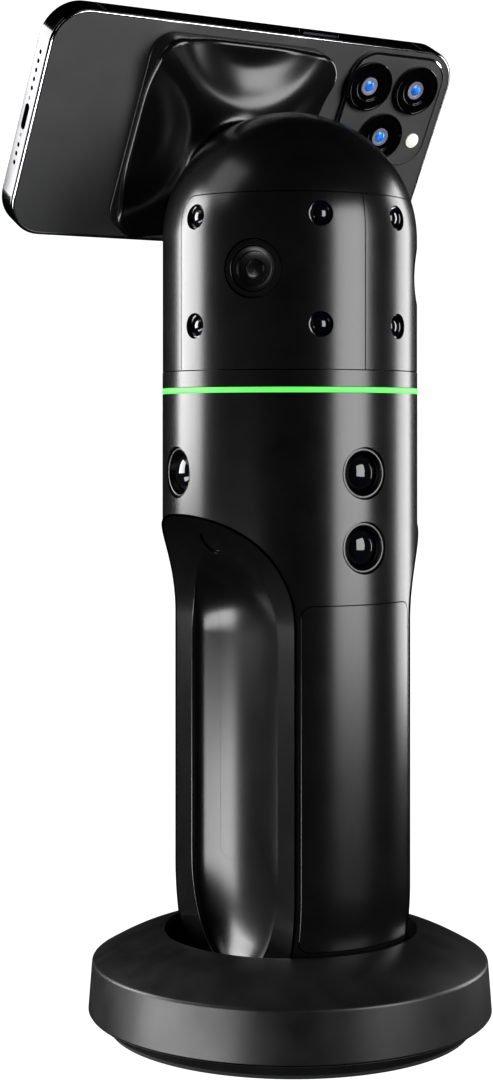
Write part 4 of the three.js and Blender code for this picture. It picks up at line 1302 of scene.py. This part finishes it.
def build_dock_shell():
    """The dock's hollow shell: rounded rim, crowned top, deep socket, inlet slot and contact holes."""
    mouth = DOCK_HIGH[2]
    rim = WALL_RADIUS - RIM_DRAFT
    crown = []
    for t in np.linspace(0, 1, 12)[1:-1]:
        rise = (mouth - RIM_HEIGHT) * t + CROWN * math.sin(math.pi * t)
        crown.append((rim + (socket_radius(mouth) - rim) * t, RIM_HEIGHT + rise, 0))
    floor = SOCKET_FLOOR - DOCK_WALL
    profile = [
        (0, floor, 0),
        *((socket_radius(z, DOCK_WALL), z, 0) for z in np.linspace(floor, RIM_HEIGHT, 8)),
        (rim - DOCK_WALL, RIM_HEIGHT - DOCK_WALL, 0),
        (WALL_RADIUS - DOCK_WALL, BEVEL_HEIGHT, 0),
        (WALL_RADIUS, BEVEL_HEIGHT, 0.4),
        (rim, RIM_HEIGHT, 0.7),
        *crown,
        (socket_radius(mouth), mouth, 0.7),
        *((socket_radius(z), z, 0) for z in np.linspace(mouth, SOCKET_FLOOR, 12)[1:]),
        (0, SOCKET_FLOOR, 0),
    ]
    shell = lathe("visual_dock_shell", profile, 192, angle=35)
    for cutter in contact_cutters(floor - 2, SOCKET_FLOOR + 2):
        boolean(shell, cutter)
    low, high = node_box("dock_power_inlet")
    width, _, height = high - low + 2 * GAP
    outline = rounded_rectangle(width, height, INLET_CORNER) + np.array([0, (high[2] + low[2]) / 2])
    boolean(shell, prism("slot", outline, -WALL_RADIUS - CUT_OVER, -WALL_RADIUS + INLET_REACH, "y"))
    shade(shell, 30)
    weighted(shell)
    finish_piece(shell, "dock_satin", "dock", "dock_shell")


def build_dock_base():
    """The bevelled base plate and the flat rubber foot under it."""
    foot = WALL_RADIUS - FOOT_INSET
    low, high = BASE_HEIGHT, BASE_HEIGHT + BASE_THICKNESS
    lip = BEVEL_HEIGHT - GAP
    plate = [
        (0, low, 0),
        (foot + 0.6, low, 0.3),
        (WALL_RADIUS - GAP, lip, 0.3),
        (WALL_RADIUS - DOCK_WALL, lip, 0),
        (foot - 0.4, high, 0),
        (0, high, 0),
    ]
    piece = weighted(lathe("visual_dock_base_plate", plate, 160))
    finish_piece(piece, "dock_plate", "dock", "dock_base_plate")
    pad = [(0, 0, 0), (foot, 0, 0.3), (foot, FOOT_HEIGHT, 0.3), (0, FOOT_HEIGHT, 0)]
    piece = weighted(lathe("visual_dock_foot", pad, 160))
    finish_piece(piece, "foot_rubber", "dock", "dock_foot")


# ---- Phone and its plate ----

# Profiles go up the outside as (width or radius, height, rounding), a slab's width being an inset.
PHONE_BAND = [
    (BAND_WALL, -7.2, 0),
    (0.7, -7.2, 0),
    (0.7, -7.8, 0),
    (0.0, -7.8, 0.35),
    (0.0, -0.4, 0.35),
    (0.7, -0.4, 0),
    (0.7, -1.1, 0),
    (BAND_WALL, -1.1, 0),
    (BAND_WALL, -7.2, 0),
]
BACK_BEAD = [
    (1.2, -0.35, 0),
    (0.55, -0.35, 0),
    (0.55, -0.1, 0.1),
    (0.85, 0.14, 0.1),
    (1.2, 0.1, 0.05),
    (1.2, -0.35, 0),
]
SCREW_PROFILE = [(0, -0.5, 0), (0.7, -0.5, 0), (0.7, 0.02, 0.1), (0, 0.02, 0)]
PLATEAU_PROFILE = [(1.0, 0, 0), (0, 0, 0.1), (0, PLATEAU_HEIGHT, 0.9), (2.5, PLATEAU_HEIGHT, 0)]
PLATEAU_BEAD = [
    (0.05, 0.9, 0),
    (-0.1, 0.9, 0),
    (-0.1, 1.1, 0),
    (0.5, 1.72, 0),
    (0.65, 1.7, 0),
    (0.6, 1.3, 0),
    (0.05, 0.9, 0),
]
RIM_PROFILE = [(7.7, 0, 0), (8.7, 0, 0.1), (8.7, 1.5, 0.35), (7.9, 1.5, 0.15), (7.7, 1.1, 0), (7.7, 0, 0)]
FRONT_PROFILE = [
    (0, 0, 0),
    (7.6, 0, 0),
    (7.6, 1.15, 0.1),
    (5.2, 1.15, 0.1),
    (4.9, 0.7, 0.1),
    (2.9, 0.35, 0),
    (0, 0.35, 0),
]
RING_PROFILE = [(1.9, 0.4, 0), (3.2, 0.45, 0), (3.2, 0.7, 0.1), (1.9, 0.5, 0.1), (1.9, 0.4, 0)]
PUPIL_PROFILE = [(0, 0.3, 0), (2.0, 0.3, 0), (2.0, 0.5, 0.1), (1.2, 0.95, 0.4), (0, 1.05, 0)]
FLASH_PROFILE = [(0, -0.2, 0), (2.6, -0.2, 0), (2.6, 0.25, 0.15), (0, 0.35, 0)]

# Parts of each phone lens: name, profile over the plateau, segments and a finish other than the slot's.
LENS_PARTS = (
    ("rim", RIM_PROFILE, 72, None),
    ("glass", FRONT_PROFILE, 72, None),
    ("ring", RING_PROFILE, 64, LENS_RING),
    # The pupil's finish carries a painted blue glow.
    ("pupil", PUPIL_PROFILE, 48, PUPIL_PAINTED_GLOW),
)


def in_mount(obj, shift=(0.0, 0.0)):
    """Lays a piece on the phone's back plane, its own +Z towards the dome."""
    return placed(obj, MOUNT_PLACE @ Matrix.Translation((*shift, 0)))


def raised(profile, level):
    """A profile lifted to a level."""
    return [(width, level + height, rounding) for width, height, rounding in profile]


def rounded_plate(name, width, height, corner, low, high, edge, steps=10):
    """A rounded rectangle with rounded upper and lower edges."""
    profile = [(2 * edge, low, 0), (0, low, edge), (0, high, edge), (2 * edge, high, 0)]
    return slab(name, width, height, corner, profile, steps=steps)


def build_mount_plate():
    """The thin plate on the pad that the phone holds to."""
    side, high = 2 * PAD_HALF, GAP + PLATE_THICKNESS
    plate = rounded_plate("visual_mount_plate", side, side, PAD_CORNER, GAP, high, PLATE_EDGE)
    finish_piece(weighted(in_mount(plate)), "dock_satin", "scanner", "mount_plate")


def key_box(node):
    """Centre and size of a key in the mount's own axes, where its sides are square."""
    vertices = np.array([v.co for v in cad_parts[node].data.vertices]) / MM
    inverse = MOUNT_PLACE.inverted()
    local = vertices @ np.array(inverse.to_3x3()).T + np.array(inverse.translation)
    low, high = local.min(0), local.max(0)
    return tuple((low + high) / 2), high - low


def phone_end(across=0.0):
    """A place on the phone's left end, its own +Z pointing into the phone."""
    middle = Matrix.Translation((PHONE_SHIFT - PHONE_LENGTH / 2, 0, -PHONE_THICKNESS / 2))
    end = middle @ Matrix.Rotation(math.pi / 2, 4, "Y")
    return MOUNT_PLACE @ end @ Matrix.Translation((0, across, 0))


def build_phone_frame():
    """The metal band, open for the keys, the port and the speaker holes."""
    band = slab("visual_phone_frame", *PHONE_OUTLINE, PHONE_BAND, steps=PHONE_STEPS)
    in_mount(band, PHONE_CENTRE)
    for node in KEY_NODES:
        centre, size = key_box(node)
        width, height = size[0] + 2 * GAP, size[2] + 2 * GAP
        slot = rounded_plate("slot", width, height, height / 2 - KEY_FLAT, -SLOT_REACH, SLOT_REACH, 0.1)
        lay = Matrix.Translation(centre) @ Matrix.Rotation(math.pi / 2, 4, "X")
        boolean(band, placed(slot, MOUNT_PLACE @ lay))
    port = rounded_plate("port", *PORT_SIZE, -HOLE_REACH, HOLE_REACH, 0.1)
    boolean(band, placed(port, phone_end()))
    first, last_right, last_left = SPEAKER_ROWS
    for across in [*np.arange(first, last_right, SPEAKER_STEP), *-np.arange(first, last_left, SPEAKER_STEP)]:
        boolean(band, cylinder_cutter("hole", SPEAKER_RADIUS, -HOLE_REACH, HOLE_REACH, phone_end(across), 20))
    shade(band, 30)
    weighted(band)
    finish_piece(band, "phone_metal", "phone", "phone_frame")


def build_phone_details():
    """The two screws in the phone's end, and the thin antenna lines across its band."""
    for name, side in SIDES:
        screw = lathe(f"visual_phone_screw_{name}", SCREW_PROFILE, 20)
        placed(screw, phone_end(SCREW_SPREAD * side) @ Matrix.Rotation(math.pi, 4, "Y"))
        finish_piece(screw, "phone_metal", "phone", finish=PORT_BLACK)
    for number, (x, side) in enumerate(ANTENNA_SPOTS, 1):
        line = rounded_plate(f"visual_phone_antenna_{number}", *ANTENNA_SIZE, 0.01, steps=2)
        spot = Matrix.Translation((PHONE_SHIFT + x, side * PHONE_WIDTH / 2, -PHONE_THICKNESS / 2))
        placed(line, MOUNT_PLACE @ (spot @ Matrix.Rotation(-side * math.pi / 2, 4, "X")))
        finish_piece(line, "phone_metal", "phone", finish=ANTENNA_GREY)


def phone_pane(name, low):
    """A glass pane let into the phone's band."""
    size = (edge - 2 * GLASS_INSET for edge in (PHONE_LENGTH, PHONE_WIDTH))
    corner, high = PHONE_CORNER - GLASS_INSET, low + GLASS_THICKNESS
    pane = rounded_plate(name, *size, corner, low, high, GLASS_EDGE, PHONE_STEPS)
    return weighted(in_mount(pane, PHONE_CENTRE))


def build_phone_glass():
    """The frosted back with the bright line round it, and the plain screen."""
    back = phone_pane("visual_phone_back_glass", -GLASS_THICKNESS)
    finish_piece(back, "phone_glass", "phone", "phone_back_glass")
    trim = slab("visual_phone_back_edge", *PHONE_OUTLINE, BACK_BEAD, steps=PHONE_STEPS)
    finish_piece(weighted(in_mount(trim, PHONE_CENTRE)), "phone_metal", "phone", finish=STEEL_BRIGHT)
    screen = phone_pane("visual_phone_screen", -PHONE_THICKNESS)
    finish_piece(screen, "phone_display", "phone", "phone_screen")


def build_phone_keys():
    """The side button and the two volume keys, each its own moving body."""
    for node in KEY_NODES:
        centre, size = key_box(node)
        side = 1 if centre[1] > 0 else -1
        corner, reach = size[2] / 2 - KEY_FLAT, size[1] / 2
        key = rounded_plate(f"visual_{node}", size[0], size[2], corner, -reach, reach, 0.3, 6)
        lay = Matrix.Translation(centre) @ Matrix.Rotation(-side * math.pi / 2, 4, "X")
        placed(key, MOUNT_PLACE @ lay)
        finish_piece(weighted(key), "phone_metal", node, node)


def build_phone_cameras():
    """The raised plateau, its bright edge, the three lenses in four parts each, and the flash."""
    centre = (PHONE_SHIFT + PLATEAU_CENTRE[0], PLATEAU_CENTRE[1])
    block, bead = raised(PLATEAU_PROFILE, GAP), raised(PLATEAU_BEAD, GAP)
    plateau = slab("visual_phone_camera_plateau", *PLATEAU_OUTLINE, block, steps=PHONE_STEPS)
    finish_piece(weighted(in_mount(plateau, centre)), "phone_glass", "phone", "phone_camera_plateau")
    trim = slab("visual_phone_plateau_edge", *PLATEAU_OUTLINE, bead, steps=PHONE_STEPS)
    finish_piece(weighted(in_mount(trim, centre)), "phone_metal", "phone", finish=STEEL_BRIGHT)
    top = GAP + PLATEAU_HEIGHT + GAP
    for number, (x, y) in enumerate(LENS_SPOTS, 1):
        for part, profile, segments, finish in LENS_PARTS:
            piece = lathe(f"visual_phone_lens_{number}_{part}", raised(profile, top), segments)
            in_mount(piece, (centre[0] + x, centre[1] + y))
            replaced = (f"phone_lens_{number}",) if part == "glass" else ()
            finish_piece(piece, "phone_lens", "phone", *replaced, finish=finish)
    flash = lathe("visual_phone_flash", raised(FLASH_PROFILE, top), 40)
    in_mount(flash, (centre[0] + FLASH_SPOT[0], centre[1] + FLASH_SPOT[1]))
    finish_piece(flash, "phone_lens", "phone", finish=FLASH_WHITE)


# ---- Scene ----


def build_stage():
    """A plain pale floor."""
    half = FLOOR_HALF
    corners = [(-half, -half, 0), (half, -half, 0), (half, half, 0), (-half, half, 0)]
    floor = new_object("floor", corners, [(0, 1, 2, 3)], 0)
    pale = node_material("floor_pale", (0.02, 0.02, 0.02), 0.9, specular=0.0, shade_range=0.02)
    floor.data.materials.append(glowing(pale, (1, 1, 1), 1.0))
    floor.visible_glossy = False
    floor.visible_diffuse = False
    floor.visible_shadow = False


def build_camera():
    """The camera, level and a little above the middle of the object."""
    data = bpy.data.cameras.new("camera")
    data.lens = CAMERA_LENS
    data.sensor_width = CAMERA_SENSOR
    data.shift_y = CAMERA_SHIFT
    camera = bpy.data.objects.new("camera", data)
    camera.location = CAMERA_LOCATION
    camera.rotation_euler = (math.radians(90), 0, math.radians(CAMERA_TURN))
    bpy.context.scene.collection.objects.link(camera)
    bpy.context.scene.camera = camera


def strip_light(name, azimuth, elevation, distance, size, power, height):
    """A softbox that faces the axis at a height; azimuth is from the camera's, positive to its right."""
    a, e = math.radians(VIEW_AZIMUTH + azimuth), math.radians(elevation)
    out = Vector((math.sin(a) * math.cos(e), -math.cos(a) * math.cos(e), math.sin(e)))
    data = bpy.data.lights.new(name, "AREA")
    data.shape = "RECTANGLE"
    data.size, data.size_y = size[0] * MM, size[1] * MM
    data.energy = power
    lamp = bpy.data.objects.new(name, data)
    target = Vector((0, 0, height)) * MM
    lamp.location = target + out * distance * MM
    lamp.rotation_euler = (target - lamp.location).to_track_quat("-Z", "Y").to_euler()
    bpy.context.scene.collection.objects.link(lamp)


def build_world():
    """White to look at, dim to be lit by, as for a product on a light table."""
    world = bpy.data.worlds.new("studio")
    bpy.context.scene.world = world
    world.use_nodes = True
    nodes, links = world.node_tree.nodes, world.node_tree.links
    backdrop = nodes["Background"]
    backdrop.inputs["Color"].default_value = (1, 1, 1, 1)
    room = nodes.new("ShaderNodeBackground")
    set_inputs(room, {"Color": (0.9, 0.95, 1, 1), "Strength": ROOM_STRENGTH})
    path = nodes.new("ShaderNodeLightPath")
    mix = nodes.new("ShaderNodeMixShader")
    links.new(path.outputs["Is Camera Ray"], mix.inputs[0])
    links.new(room.outputs[0], mix.inputs[1])
    links.new(backdrop.outputs[0], mix.inputs[2])
    links.new(mix.outputs[0], nodes["World Output"].inputs["Surface"])


# Name, azimuth and elevation (degrees), distance, size, power (W) and the height that the softbox faces.
LIGHTS = (
    ("left_strip", -100, 0, 900, (540, 600), 13, 430),
    ("right_soft", 56, 0, 1000, (600, 700), 12, 340),
    ("right_rim", 122, 0, 900, (420, 700), 6, 330),
    ("low_left", -58, 0, 600, (720, 200), 5, -90),
    ("dome_soft", -78, 40, 900, (480, 480), 1.5, 270),
)

build_stage()
build_camera()
build_world()
for light in LIGHTS:
    strip_light(*light)
view = bpy.context.scene.view_settings
view.view_transform = "Standard"
view.gamma = 0.86
view.exposure = 0.15
dress_cad_nodes()
build_body()
build_light_ring()
build_cameras()
build_button()
build_head()
build_optics()
build_dock_shell()
build_dock_base()
build_mount_plate()
build_phone_frame()
build_phone_details()
build_phone_glass()
build_phone_keys()
build_phone_cameras()
